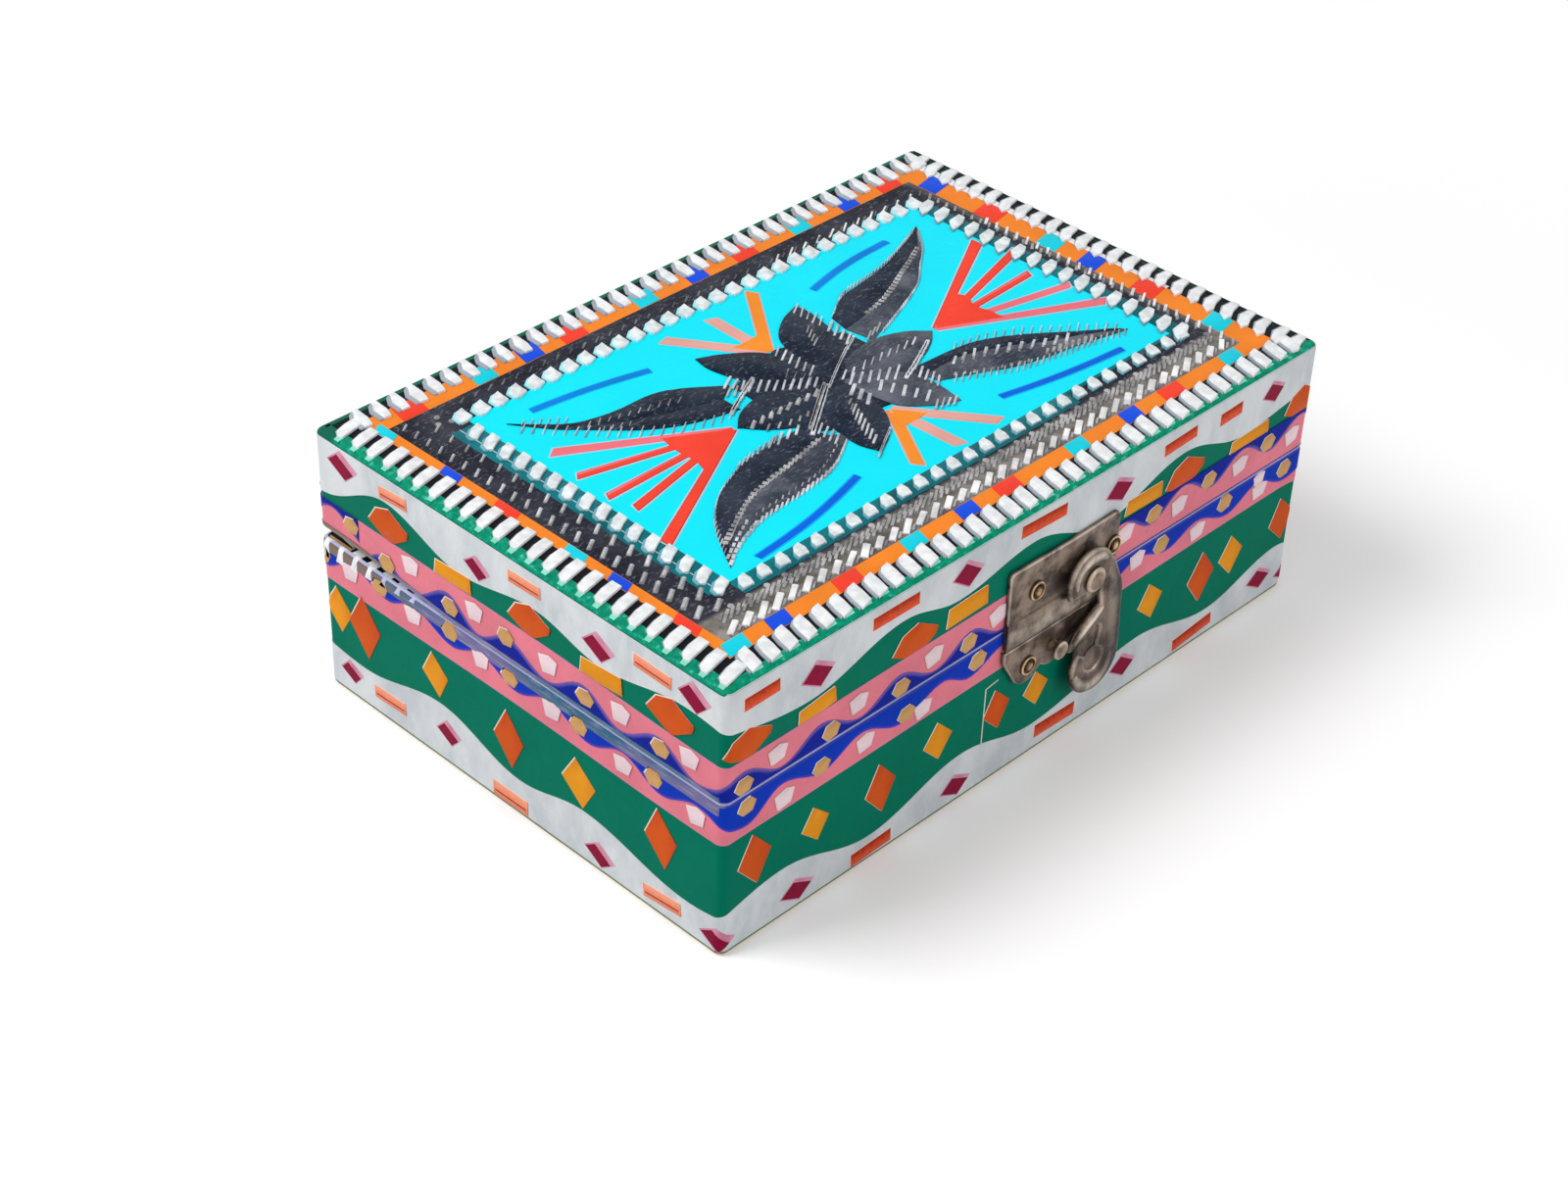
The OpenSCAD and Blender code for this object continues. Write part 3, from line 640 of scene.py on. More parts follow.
HALO = tape_look("pale_film", srgb(198, 206, 222))
DARK_RED = tape_look("dark_red_edge", srgb(162, 30, 32))
STROKE = tape_look("blue_stroke", srgb(0, 100, 226))
STROKE_PALE = tape_look("blue_stroke_pale", srgb(0, 130, 222))
STROKE_EDGE = tape_look("blue_stroke_edge", srgb(0, 172, 246))
SILVER = metal_look("silver_stitch", srgb(206, 206, 208), srgb(252, 252, 252), (0.22, 0.4), metal=0.3)
DULL_SILVER = metal_look("dull_stitch", srgb(120, 118, 120), srgb(184, 182, 182), (0.3, 0.5), metal=0.3)
DARK_SILVER = metal_look("dark_stitch", srgb(70, 70, 78), srgb(112, 112, 120), (0.35, 0.55), metal=0.3)
PETAL_SILVER = metal_look("petal_stitch", srgb(160, 162, 168), srgb(222, 224, 228), (0.24, 0.42), metal=0.3)
# The last colour of the bronze, knob and nail looks paints wear and highlights where the tone rises
BRONZE = metal_look("aged_bronze", srgb(62, 48, 41), srgb(138, 120, 106), (0.26, 0.48),
                    srgb(220, 208, 192), 240, 0.5)
# The hook's metal has painted shade towards its right side
HOOK_BRONZE = metal_look("hook_bronze", srgb(58, 44, 38), srgb(132, 113, 100), (0.24, 0.46),
                         srgb(236, 222, 204), 200, 0.5, (13.5, 18.6))
KNOB = metal_look("knob_wear_and_highlight", srgb(88, 68, 56), srgb(150, 130, 110), (0.24, 0.42),
                  srgb(226, 212, 190), 300, 0.5)
BRASS = metal_look("hinge_brass", srgb(150, 112, 54), srgb(206, 170, 96), (0.25, 0.42))
NAIL = metal_look("nail_brass", srgb(44, 27, 16), srgb(104, 68, 38), (0.16, 0.3),
                  srgb(255, 220, 160), 260, 0.6)
BAND = band_look()
PETAL = foil_look("petal_foil", srgb(22, 32, 48), srgb(58, 68, 84)).material
PETAL_PALE = foil_look("petal_foil_pale", srgb(50, 57, 70), srgb(116, 121, 132), 90, 0.9).material
SEAM = seam_look()
SEAM_LINE = tape_look("seam_line", srgb(190, 194, 226), gloss=(0.2, 0.34), crease=0.5, shade=0.8)
WOOD_X = wood_look("wood_along_x", (18, 240, 240))
WOOD_Y = wood_look("wood_along_y", (240, 18, 240))


# Wooden shells

ROLL_STEPS = 5


def roll(radius):
    """Pairs (draw in, distance from the flat) down a quarter round."""
    angles = [QUARTER * i / ROLL_STEPS for i in range(ROLL_STEPS + 1)]
    return [(radius * (1 - math.cos(a)), radius * (1 - math.sin(a))) for a in angles]


def plan_points(draw_in, us=ALL_ROUND):
    """Plan of the box, or of a part of it, drawn in from the wood's face."""
    return [(x - nx * draw_in, y - ny * draw_in) for (x, y), (nx, ny) in map(outline, us)]


def panel(name, low, high, low_roll, high_roll, body):
    """Floor or top of the box, with a rounded edge below or above."""
    form = Form()
    levels = [(i, low + h) for i, h in roll(low_roll)[::-1]] if low_roll else [(0, low)]
    levels += [(i, high - h) for i, h in roll(high_roll)] if high_roll else [(0, high)]
    form.tube([form.row([(x, y, z) for x, y in plan_points(i)]) for i, z in levels])
    piece(name + "_wood", form, [WOOD_X], body, "wood", [name])


def wall_points(side, draw_in):
    """Plan of one wall, drawn in on its outer and inner face but not where it meets the others."""
    inner_l = HALF_L - WALL
    inner_w = HALF_W - WALL
    if side in (LEFT, RIGHT):
        sign = 1 if side == RIGHT else -1
        ys = [-inner_w, SLOPE_Y, WIDE_Y, inner_w]
        outer = [(sign * (HALF_L - draw_in), y) for y in ys]
        return outer + [(sign * (inner_l + draw_in), y) for y in reversed(ys)]
    sign = 1 if side == BACK else -1
    outer = plan_points(draw_in, [u for u in BENDS if side - 0.01 <= u <= side + SIDE_L + 0.01])
    first = (-HALF_L + draw_in) * -sign
    inner_y = sign * (inner_w + draw_in)
    return [(first, inner_y)] + outer + [(-first, inner_y)]


def wall(word, side, shell):
    """One wall of the base or the lid, rounded at its rim."""
    form = Form()
    seat = PANEL_T if shell is BASE else LID_TOP - PANEL_T
    rows = [form.row([(x, y, seat) for x, y in wall_points(side, 0)])]
    for draw_in, short in roll(RIM_ROLL):
        rows.append(form.row([(x, y, shell.rim(y, -short)) for x, y in wall_points(side, draw_in)]))
    form.tube(rows)
    name = f"{shell.body}_{word}_wall"
    look = WOOD_Y if side in (LEFT, RIGHT) else WOOD_X
    piece(name + "_wood", form, [look], shell.body, "wood", [name])


panel("floor_panel", 0, PANEL_T, FOOT_ROLL, 0, "base")
panel("lid_top_panel", LID_TOP - PANEL_T, LID_TOP, 0, TOP_ROLL, "lid")
for word, side in (("front", FRONT), ("right", RIGHT), ("back", BACK), ("left", LEFT)):
    wall(word, side, BASE)
    wall(word, side, LID)


# Bands of tape round the sides

# Least distance between two turning points of a wave, and of the small scallops
WAVE_GAP, SCALLOP_GAP = 4.05, 1.35


def all_round(left, front):
    """Places all the way round, from those of the left side and the front. Each starts with its distance
    from the side's left end. The hidden sides mirror the seen ones."""
    found = []
    for start, length, places, mirrored in ((LEFT, SIDE_W, left, False), (FRONT, SIDE_L, front, False),
                                            (RIGHT, SIDE_W, left, True), (BACK, SIDE_L, front, True)):
        found += [(start + (length - s if mirrored else s), *rest) for s, *rest in places]
    return found


def hand_cut(left, front, least_gap=WAVE_GAP):
    """Hand-cut edge all the way round, through the turning points (distance, distance down) of two sides.
    One that comes too close after another is left out."""
    knots = []
    for u, down in sorted(all_round(left, front)):
        if not knots or u - knots[-1][0] > least_gap:
            knots.append((u, PICTURE_TOP - down))
    return wave(knots)


def wave(knots):
    """Height at u of a hand-cut edge that swings between its turning points."""
    starts = [u for u, _ in knots]

    def height(u):
        u %= ROUND
        i = bisect_right(starts, u) - 1
        (u0, v0), (u1, v1) = knots[i], knots[(i + 1) % len(knots)]
        gap = (u1 - u0) % ROUND
        t = ((u - u0) % ROUND) / gap
        return lerp(v0, v1, 0.5 - 0.5 * math.cos(math.pi * t))

    return height


def level(height):
    return lambda u: height


def sections(u0, u1, step=1.2):
    """Places between u0 and u1 where a band needs a section."""
    count = math.ceil((u1 - u0) / step)
    even = [lerp(u0, u1, i / count) for i in range(count + 1)]
    return sorted(set(even + [u for u in BENDS if u0 < u < u1]))


def fade(distance, width):
    """1 at an edge, 0 at width from it and beyond."""
    return 1 - clamp(distance / width, 0, 1) if width else 0.0


def tape_section(a, b, heights, d0, d1):
    """Section of a tape from a to b, as (height, depth) with its edges eased."""
    middle = (d0 + d1) / 2
    return [(a, d0), (a, middle)] + [(h, d1) for h in heights] + [(b, middle), (b, d0)]


def band(form, shell, us, low, high, d0, d1, around=False, fringe=(0, 0), look=0):
    """Layer of tape between low(u) and high(u). Its tone is 1 at its edges and falls to 0 within the widths
    of fringe, for the lower and the upper edge."""
    rows = []
    for u in us[:-1] if around else us:
        y = outline(u)[0][1]
        least, most = shell.reach(y)
        a = clamp(low(u), least, most)
        b = clamp(high(u), a, most)
        lip = min(LIP, (b - a) / 3)
        below, above = (min(width, (b - a) / 2) for width in fringe)
        marks = [a + lip, a + below, b - above, b - lip]
        heights = sorted([clamp(h, a + lip, b - lip) for h in shell.bends(y)] + marks)
        section = tape_section(a, b, heights, d0, d1)
        tones = [max(fade(h - a, below), fade(b - h, above)) for h, _ in section]
        rows.append(form.row([shell.place(u, v, d) for v, d in section], tones))
    form.tube(rows, look, around)


def layer(number):
    """Depths of a layer of tape off the wood."""
    return TAPE * number, TAPE * (number + 1)


def tape_piece(name, shell, spans, look, slot, number):
    """Band piece made of spans (u0, u1, low, high, fringe). A span of the whole round closes on itself."""
    form = Form()
    for u0, u1, low, high, *fringe in spans:
        around = abs(u1 - u0 - ROUND) < 0.01
        band(form, shell, sections(u0, u1), low, high, *layer(number), around, *fringe)
    piece(name + "_skin", form, [look], shell.body, slot, [name])


# Eased edge of a tape
LIP = 0.04
WHOLE = (0, ROUND)
LOWEST, HIGHEST = level(0), level(99)
# How far from the rims the strips beside them end
WORN = 0.3
BASE_WORN = level(BASE_RIM - WORN)


def lid_worn(u):
    """Height at which the coloured strips of the lid end at its rim."""
    return lid_rim(outline(u)[0][1]) + WORN


base_wave = hand_cut(
    [(10.2, 46.7), (31.8, 42.5), (52.1, 47.3), (68.6, 44.1), (92.7, 47.9)],
    [(14, 44.3), (35.3, 49.6), (58.1, 44.7), (77, 48.6), (106.1, 44.3), (127.4, 48.6), (147.9, 44.3)])
lid_wave = hand_cut(
    [(1.3, 12.7), (19.1, 6.4), (38.1, 11.1), (57.2, 8.3), (72.4, 11.1), (92.7, 7.9)],
    [(18.7, 11.6), (40.8, 6.9), (54.1, 9.7), (73, 6.9), (91.9, 12.4), (114, 7.3), (131.3, 11.6),
     (151, 9.8)])
base_pink_foot = hand_cut([(4, 31.4), (50, 30.9), (92, 31.6)], [(10, 31.3), (76, 30.6), (145, 30)])
base_blue_foot = hand_cut(
    [(1.3, 28.6), (8.9, 24.9), (18.4, 27.4), (25.4, 24.8), (35.6, 27.8), (43.2, 25.2), (52.1, 28.1),
     (60.3, 25.2), (69.9, 28.6), (78.1, 25.6), (87, 29), (95.3, 26.2)],
    [(5.3, 29.6), (13.2, 25.5), (22.7, 28.4), (31.7, 25.3), (41.2, 28.7), (51.4, 25.4), (58.5, 28.2),
     (67, 25.5), (76, 28.4), (85, 25.5), (94, 28), (103, 25.1), (112, 27.6), (120, 25.2),
     (129.7, 28.2), (138, 25.2), (147, 28.4)], SCALLOP_GAP)

# The lid's pink and blue strips are two tapes that meet at two places: one has its waves up, and the other
# is laid upside down
MEET_LEFT, MEET_FRONT = 11.4, FRONT + 84
UPRIGHT = (MEET_LEFT, MEET_FRONT)
TURNED = (MEET_FRONT, ROUND + MEET_LEFT)
lid_pink_top = wave([(LEFT + 2, 41.2), (LEFT + 50, 41), (FRONT + 4, 39.8), (FRONT + 60, 40.4),
                     (MEET_FRONT, 40.8), (RIGHT, 41.1), (BACK, 41)])
lid_blue_top = hand_cut(
    [(11.4, 21.4), (17.5, 18.3), (25.6, 21.6), (34.9, 16.8), (42.6, 21.3), (50.2, 17.7), (59.6, 21.3),
     (68.6, 17.1), (77.4, 21.3), (86.4, 17.4), (95.2, 21.5)],
    [(4.5, 17.9), (13.2, 21.7), (21.9, 17.9), (31.3, 21.7), (40.4, 17.9), (49.4, 21.7), (58.1, 17.9),
     (66, 21.7), (75, 17.9), (84, 21.9)], SCALLOP_GAP)
TURNED_PITCH = 17.4


def lid_blue_foot(u):
    """Lower edge of the blue scallops on the tape that was laid upside down."""
    swing = math.cos(2 * math.pi * (u - FRONT - 106) / TURNED_PITCH)
    return PICTURE_TOP - 17.0 - 2.1 * swing


def on_short_side(u):
    return u % ROUND < FRONT or RIGHT <= u % ROUND < BACK


def white_top(u):
    """Upper edge of the lid's white band, a little lower on the short sides."""
    return PICTURE_TOP - (1.35 if on_short_side(u) else 1.0)


tape_piece("base_green_tape", BASE, [(*WHOLE, LOWEST, HIGHEST)], GREEN, "green_tape", 0)
tape_piece("base_white_band", BASE, [(*WHOLE, level(FOOT + 0.4), base_wave)], WHITE, "white_tape", 1)
tape_piece("base_pink_strip", BASE, [(*WHOLE, base_pink_foot, BASE_WORN, (0.3, 0))], PINK, "pink_tape", 1)
tape_piece("base_blue_wave", BASE, [(*WHOLE, base_blue_foot, BASE_WORN, (0.6, 0))], BLUE_LOW, "blue_tape", 2)
tape_piece("lid_green_tape", LID, [(*WHOLE, LOWEST, HIGHEST)], GREEN, "green_tape", 0)
tape_piece("lid_white_band", LID, [(*WHOLE, lid_wave, white_top)], WHITE, "white_tape", 1)
tape_piece("lid_pink_strip", LID, [(*span, lid_worn, lid_pink_top, (0, 0.3)) for span in (UPRIGHT, TURNED)],
           PINK, "pink_tape", 1)
tape_piece("lid_blue_wave", LID,
           [(*UPRIGHT, lid_worn, lid_blue_top, (0, 1.0)),
            (*TURNED, lid_blue_foot, lambda u: lid_pink_top(u) + 0.1, (1.0, 0))], BLUE, "blue_tape", 2)


# Cut pieces on the sides

# Outlines in a square from -0.5 to 0.5
SHAPES = {
    "rhombus": [(-0.5, -0.03), (-0.06, 0.5), (0.5, 0.05), (0.08, -0.5)],
    "clipped": [(-0.5, -0.1), (-0.3, 0.34), (0.02, 0.5), (0.46, 0.12), (0.42, -0.08), (0.0, -0.5)],
    "slab": [(-0.5, -0.5), (-0.46, 0.38), (0.48, 0.5), (0.5, -0.4)],
    "dash": [(-0.49, -0.5), (-0.5, 0.42), (0.49, 0.5), (0.5, -0.42)],
    "hexagon": [(-0.5, -0.1), (-0.28, 0.42), (0.2, 0.5), (0.5, 0.12), (0.3, -0.42), (-0.2, -0.5)],
    "pentagon": [(-0.5, 0.3), (0.1, 0.5), (0.5, 0.36), (0.34, -0.36), (-0.3, -0.5)],
}


# How far the pale film under a cut piece, which paints a highlight along its edges, shows beside it on the
# left and above it
FILM_LEFT, FILM_UP = 0.22, 0.14


def crossing(points, u):
    """Lowest and highest place of a convex outline at u."""
    heights = []
    for (ax, ay), (bx, by) in zip(points, points[1:] + points[:1]):
        if min(ax, bx) - 1e-6 <= u <= max(ax, bx) + 1e-6:
            heights += [ay, by] if abs(bx - ax) < 1e-6 else [lerp(ay, by, (u - ax) / (bx - ax))]
    return min(heights), max(heights)


def plate(form, shell, points, d0, d1, look, upper=False, lowest=None):
    """Flat plate of tape that follows the box round its corners. Its tone rises near its right and upper
    edges, or towards its whole upper edge. It ends at the height lowest(u)."""
    us = sorted(u for u, _ in points)
    marks = set(us + [u for u in BENDS if us[0] < u < us[-1]])
    if lowest:
        marks |= set(sections(us[0], us[-1], 0.8))
    low_edge = min(v for _, v in points)
    tall = max(v for _, v in points) - low_edge
    rows = []
    for u in sorted(marks):
        y = outline(u)[0][1]
        least, most = shell.reach(y)
        if lowest:
            least = lowest(u % ROUND)
        a, b = (clamp(v, least, most) for v in crossing(points, u))
        lip = max(0, min(LIP, (b - a) / 3))
        heights = [clamp(h, a + lip, b - lip) for h in shell.bends(y)] + [a + lip, lerp(a, b, 0.5), b - lip]
        section = tape_section(a, b, sorted(heights), d0, d1)
        across = (u - us[0]) / (us[-1] - us[0])
        if upper:
            tones = [clamp((v - a) / max(b - a, 0.01) * 2 - 0.6, 0, 1) for v, _ in section]
        else:
            tones = [clamp((max(across, (v - low_edge) / tall) - 0.86) * 5, 0, 0.7) for v, _ in section]
        rows.append(form.row([shell.place(u, v, d) for v, d in section], tones))
    form.tube(rows, look)


def inside(corners, left, right, low, high):
    """Four corners that take up a part of a four-sided outline. Shares run from its first corner along its
    first side, and from there along its last side."""
    start, ahead, _, aside = [Vector(c) for c in corners]
    return [tuple(start + (ahead - start) * s + (aside - start) * t)
            for s, t in ((left, low), (right, low), (right, high), (left, high))]


def cut(form, shell, shape, u, down, size, turn, number, look, lowest):
    """One cut piece: its colour on a pale film that shows along its left and upper edges as a painted
    highlight. The film of a crimson piece shows along its upper right as painted glare, and a dash on a
    short side has a dark line."""
    c, s = math.cos(math.radians(turn)), math.sin(math.radians(turn))
    sized = [(x * size[0], y * size[1]) for x, y in SHAPES[shape]]
    turned = [(u + x * c - y * s, PICTURE_TOP - down + x * s + y * c) for x, y in sized]
    d0, d1 = layer(number)
    film = lerp(d0, d1, 0.4)
    short_side = on_short_side(u)
    # A crimson piece sits on its pale film, which shows along its upper right as painted glare
    if look is CRIMSON:
        plate(form, shell, turned, d0, film, 1)
        plate(form, shell, inside(turned, 0.06, 0.68 if short_side else 0.82, 0.06, 0.95), film, d1, 0)
        return
    plate(form, shell, [(x - FILM_LEFT, y + FILM_UP) for x, y in turned], d0, film, 1, lowest=lowest)
    plate(form, shell, turned, film, d1, 0, look is DASH, lowest)
    if look is DASH and short_side:
        plate(form, shell, inside(turned, 0.3, 0.4, 0.05, 0.95), film, d1 + 0.4 * TAPE, 2)


def cuts(shell, name, shape, size, left, front, look, slot, number, node=None, lowest=None):
    """All cut pieces of one kind on one shell, from the places (distance, distance down) of two sides. A
    place may give its own width and height. They stand for a CAD node, and end at the height lowest(u)."""
    form = Form()
    for u, down, *own in all_round(left, front):
        width = own[0] if own else size[0] * DICE.uniform(0.95, 1.05)
        height = own[1] if len(own) > 1 else size[1] * DICE.uniform(0.94, 1.06)
        cut(form, shell, shape, u % ROUND or 0.01, down, (width, height), DICE.uniform(-5, 5), number, look,
            lowest)
    looks = {CRIMSON: [CRIMSON, CRIMSON_GLARE], DASH: [DASH, FILM_HIGHLIGHT, DASH_LINE]}.get(look, [look, FILM_HIGHLIGHT])
    replaced = [f"{shell.body}_{node}"] if node else []
    piece(f"{shell.body}_{name}", form, looks, shell.body, slot, replaced)


def strip_top(u):
    """Height down to which the lid's orange and yellow pieces show, as they go under its pink strip."""
    return lid_pink_top(u) + 0.12


cuts(BASE, "orange_diamonds", "rhombus", (7.5, 11),
     [(11.4, 37.2, 8.6, 13.4), (49.7, 39.7, 7.6, 12), (87.1, 38.4, 7.6, 12)],
     [(7.5, 38), (37.4, 40.4), (66.8, 39.6, 6.7, 9.1), (92.5, 38.6), (124.1, 39.6), (148.4, 38, 7.1, 10.2)],
     ORANGE, "orange_tape", 1.3, "orange_cuts")
cuts(BASE, "yellow_diamonds", "rhombus", (7, 8.6),
     [(4.1, 37.1, 7.3, 9.5), (30.6, 36.8), (67.3, 38.7, 8.3, 10)],
     [(21.7, 39, 6.3, 7.6), (51.6, 38.2, 7.1, 8.3), (77.4, 40.6, 6.5, 7.5), (108.9, 37.5), (133.1, 39)],
     YELLOW, "yellow_tape", 1, "yellow_cuts")
cuts(BASE, "crimson_diamonds", "rhombus", (8, 5.5),
     [(6.9, 49.5, 6.5, 5), (33.7, 47.9, 6.8, 5.4), (72.4, 51.2), (100.6, 51.9, 8.6, 5.4)],
     [(17.8, 50.9), (57.1, 51.1), (102.6, 48.7), (143.8, 49.6)],
     CRIMSON, "crimson_tape", 2, "crimson_cuts")
cuts(BASE, "dashes", "dash", (9.4, 2.9),
     [(17.6, 49.9, 8.6), (49.8, 52.6, 9, 3.3), (87.6, 51.2, 9)],
     [(35.8, 52.6, 9.9), (83.7, 51.1, 11), (123.6, 52, 11.5)],
     DASH, "orange_tape", 2)
cuts(BASE, "tan_hexagons", "hexagon", (4.3, 3.4),
     [(0.9, 26.4), (16.5, 25.6), (35.2, 24.9), (50.5, 26), (67.6, 26.2), (85.4, 26.4)],
     [(5.2, 25.4), (22.3, 27), (42.6, 27.2), (60.3, 25.4), (78, 27), (94, 26.6), (109.9, 25.4),
      (128.4, 25), (146.5, 25.6)],
     TAN, "tan_tape", 3, "tan_spots")
cuts(BASE, "pale_pentagons", "pentagon", (4.3, 3.6),
     [(8.3, 26.9), (25.4, 26.9), (43.2, 26.4), (61, 26.9), (78.2, 28.2), (95.3, 28.4)],
     [(13.8, 28.8), (32.7, 27.8), (46.8, 28.5), (69, 28), (86, 28), (103, 25.4), (120.7, 27.6),
      (139.2, 27.2), (138.6, 24.4, 3.6, 2.4)],
     PALE, "pale_tape", 2.8, "pale_spots")
cuts(LID, "orange_diamonds", "clipped", (10.8, 6.9),
     [(20, 11.1), (55.9, 11.4), (89.2, 11.7)],
     [(5.2, 12.8, 11.4, 6.4), (43.9, 12.8, 11.4, 7.2), (114.8, 12.4, 11.4, 7.4), (149.2, 12, 10.4, 7.2)],
     ORANGE, "orange_tape", 2, "orange_cuts", strip_top)
cuts(LID, "yellow_slabs", "slab", (9.8, 3.7),
     [(36.5, 12.6), (73, 12.8)],
     [(20.7, 13.8, 8.6, 3.6), (56.5, 12.2, 10.2, 4.3), (103, 12.2), (133.5, 13, 11.4, 3.2)],
     YELLOW, "yellow_tape", 2, "yellow_cuts", strip_top)
cuts(LID, "crimson_diamonds", "rhombus", (8, 5.8),
     [(7.9, 4.6), (42.9, 7.5, 6.8, 5), (72.4, 7.3), (94.3, 4.9)],
     [(20.5, 7.1), (55.9, 5.1), (95.5, 6.7), (139.3, 5.6, 6.8, 5.2)],
     CRIMSON, "crimson_tape", 2, "crimson_cuts")
cuts(LID, "dashes", "dash", (8.6, 2.7),
     [(21.4, 4.5, 7.3), (54.7, 4.5, 7.9), (84.9, 5.1, 8.6)],
     [(7.9, 4.5, 7.8), (38.4, 3.9, 11), (75, 3.6, 11.8), (111.9, 4.1, 9.1), (126.5, 4.8, 6.3)],
     DASH, "orange_tape", 2)
cuts(LID, "tan_hexagons", "hexagon", (4.3, 3.4),
     [(9.5, 16.2), (19, 19.2), (35.6, 19.4), (49.8, 17.9), (69.2, 19.4), (86.9, 19.4)],
     [(4.4, 20.7), (24.2, 20.6), (40.8, 20.7), (57.5, 20.2), (74, 20.2), (106.5, 17.1),
      (122.3, 17.1), (139.8, 16.9)],
     TAN, "tan_tape", 3, "tan_spots")
cuts(LID, "pale_pentagons", "pentagon", (4.3, 3.8),
     [(25.4, 16.4), (41.9, 17.1), (60.3, 17.8), (77.6, 17.9), (93.5, 17.6)],
     [(11.9, 18.5), (30.5, 18.4), (48.6, 18.4), (64.8, 18.2), (98.6, 17.6), (113.8, 18.7),
      (131.5, 18.2), (147.4, 18.7)],
     PALE, "pale_tape", 2.8, "pale_spots")


# Clear film laid over the base beside the latch, of which only the pale cut edge shows, as a painted
# highlight

def film_line():
    form = Form()
    left, right = FRONT + 63.3, FRONT + 66.6
    top_edge, bottom = PICTURE_TOP - 33.6, PICTURE_TOP - 45.6
    inner = left + FILM_LEFT
    upright = [(left, bottom), (left, top_edge), (inner, top_edge), (inner, bottom)]
    plate(form, BASE, upright, *layer(1), 0)
    across = [(left, top_edge), (right, top_edge + 0.5), (right, top_edge + 0.7), (left, top_edge + 0.2)]
    plate(form, BASE, across, *layer(1), 0)
    piece("clear_film_edge", form, [FILM_HIGHLIGHT], "base", "pale_tape")


film_line()


# Toothed tape folded over the rims

RIM_TOOTH = 2.4
RIM_PITCH = 3.97
RIM_LEAN = 0.7
RIM_INSET = RIM_ROLL + 0.1
# Heights of the strip and of its teeth over the wood
RIM_STRIP_H, RIM_TOOTH_H = 0.04, 0.1
# Distance of the first tooth from the start of its row
FIRST_TOOTH = 0.6


def fold(u, width):
    """How far the film folds over the rim: the given width on the left side, and hardly at all elsewhere."""
    return width if u % ROUND < SIDE_W - 1 else 0.02


def folded_teeth(form):
    """Teeth of the rim tape that show on the left side near the back, each shorter than the one before."""
    count = 7
    white_ones = 4
    lean = 0.8
    high = BASE_RIM + 1
    for i in range(count):
        u = FIRST_TOOTH + i * RIM_PITCH
        foot = BASE_RIM - lerp(3.4, 0.8, i / (count - 1))
        wide = lerp(2.0, 1.4, i / (count - 1))
        shape = [(u, foot), (u + lean, high), (u + lean + wide, high), (u + wide, foot)]
        plate(form, BASE, shape, *layer(3), 0 if i < white_ones else 3)


def rim_strip(shell, folds):
    """Dark strip along a rim with white teeth across it. Each of its folds over the outside is a lower edge,
    an upper edge, a depth and a look."""
    form = Form()
    inner = WALL - RIM_INSET

    def place(u, inward, lift):
        (x, y), (nx, ny) = outline(u)
        return x - nx * inward, y - ny * inward, shell.rim(y, lift)

    for low, high, depth, look in folds:
        band(form, shell, sections(*WHOLE), low, high, TAPE, depth * TAPE, True, look=look)
    if shell is BASE:
        folded_teeth(form)
    for start, length, *_ in SIDES:
        trim = WALL + 0.2 if start in (LEFT, RIGHT) else BEND
        u0, u1 = start + trim, start + length - trim
        marks = sections(u0, u1, 3)
        for ends in zip(marks, marks[1:]):
            rows = [form.row([place(u, RIM_INSET, 0), place(u, RIM_INSET, RIM_STRIP_H),
                              place(u, inner, RIM_STRIP_H), place(u, inner, 0)]) for u in ends]
            form.tube(rows, 1)
        count = int((u1 - u0) / RIM_PITCH)
        for i in range(count):
            a = u0 + FIRST_TOOTH + i * (u1 - u0) / count
            b = a + RIM_TOOTH
            corners = [(a, RIM_INSET), (b, RIM_INSET), (b + RIM_LEAN, inner), (a + RIM_LEAN, inner)]
            pad(form, corners, RIM_STRIP_H, RIM_TOOTH_H, 0.05, 1, place)
    piece(f"{shell.body}_rim_teeth", form, [PLUMP, BLACK, SEAM, SEAM_LINE], shell.body, "rim_tape",
          [f"{shell.body}_rim_tape"])


# The second fold of each rim is a pale line that paints the highlight along the seam
rim_strip(BASE, [(lambda u: BASE_WORN(u) - fold(u, 1.7), HIGHEST, 3.4, 2),
                 (lambda u: BASE_WORN(u) + 0.22, HIGHEST, 3.7, 3)])
rim_strip(LID, [(LOWEST, lambda u: lid_worn(u) + fold(u, 0.7), 3.4, 2),
                (LOWEST, lambda u: lid_worn(u) - 0.28, 3.7, 3)])


# The top

# Left and back edge of the top, which places on it are measured from
LEFT_EDGE = -76.2
BACK_EDGE = 50.6


def top(x, y):
    """Place on the top from its distance off the left edge and the back edge."""
    return LEFT_EDGE + x, BACK_EDGE - y


def slab(form, x0, y0, x1, y1, low, high, look=0, round_by=0.02):
    """Thin rectangle of tape."""
    pad(form, [(x0, y0), (x1, y0), (x1, y1), (x0, y1)], low, high, round_by, 1, look=look)


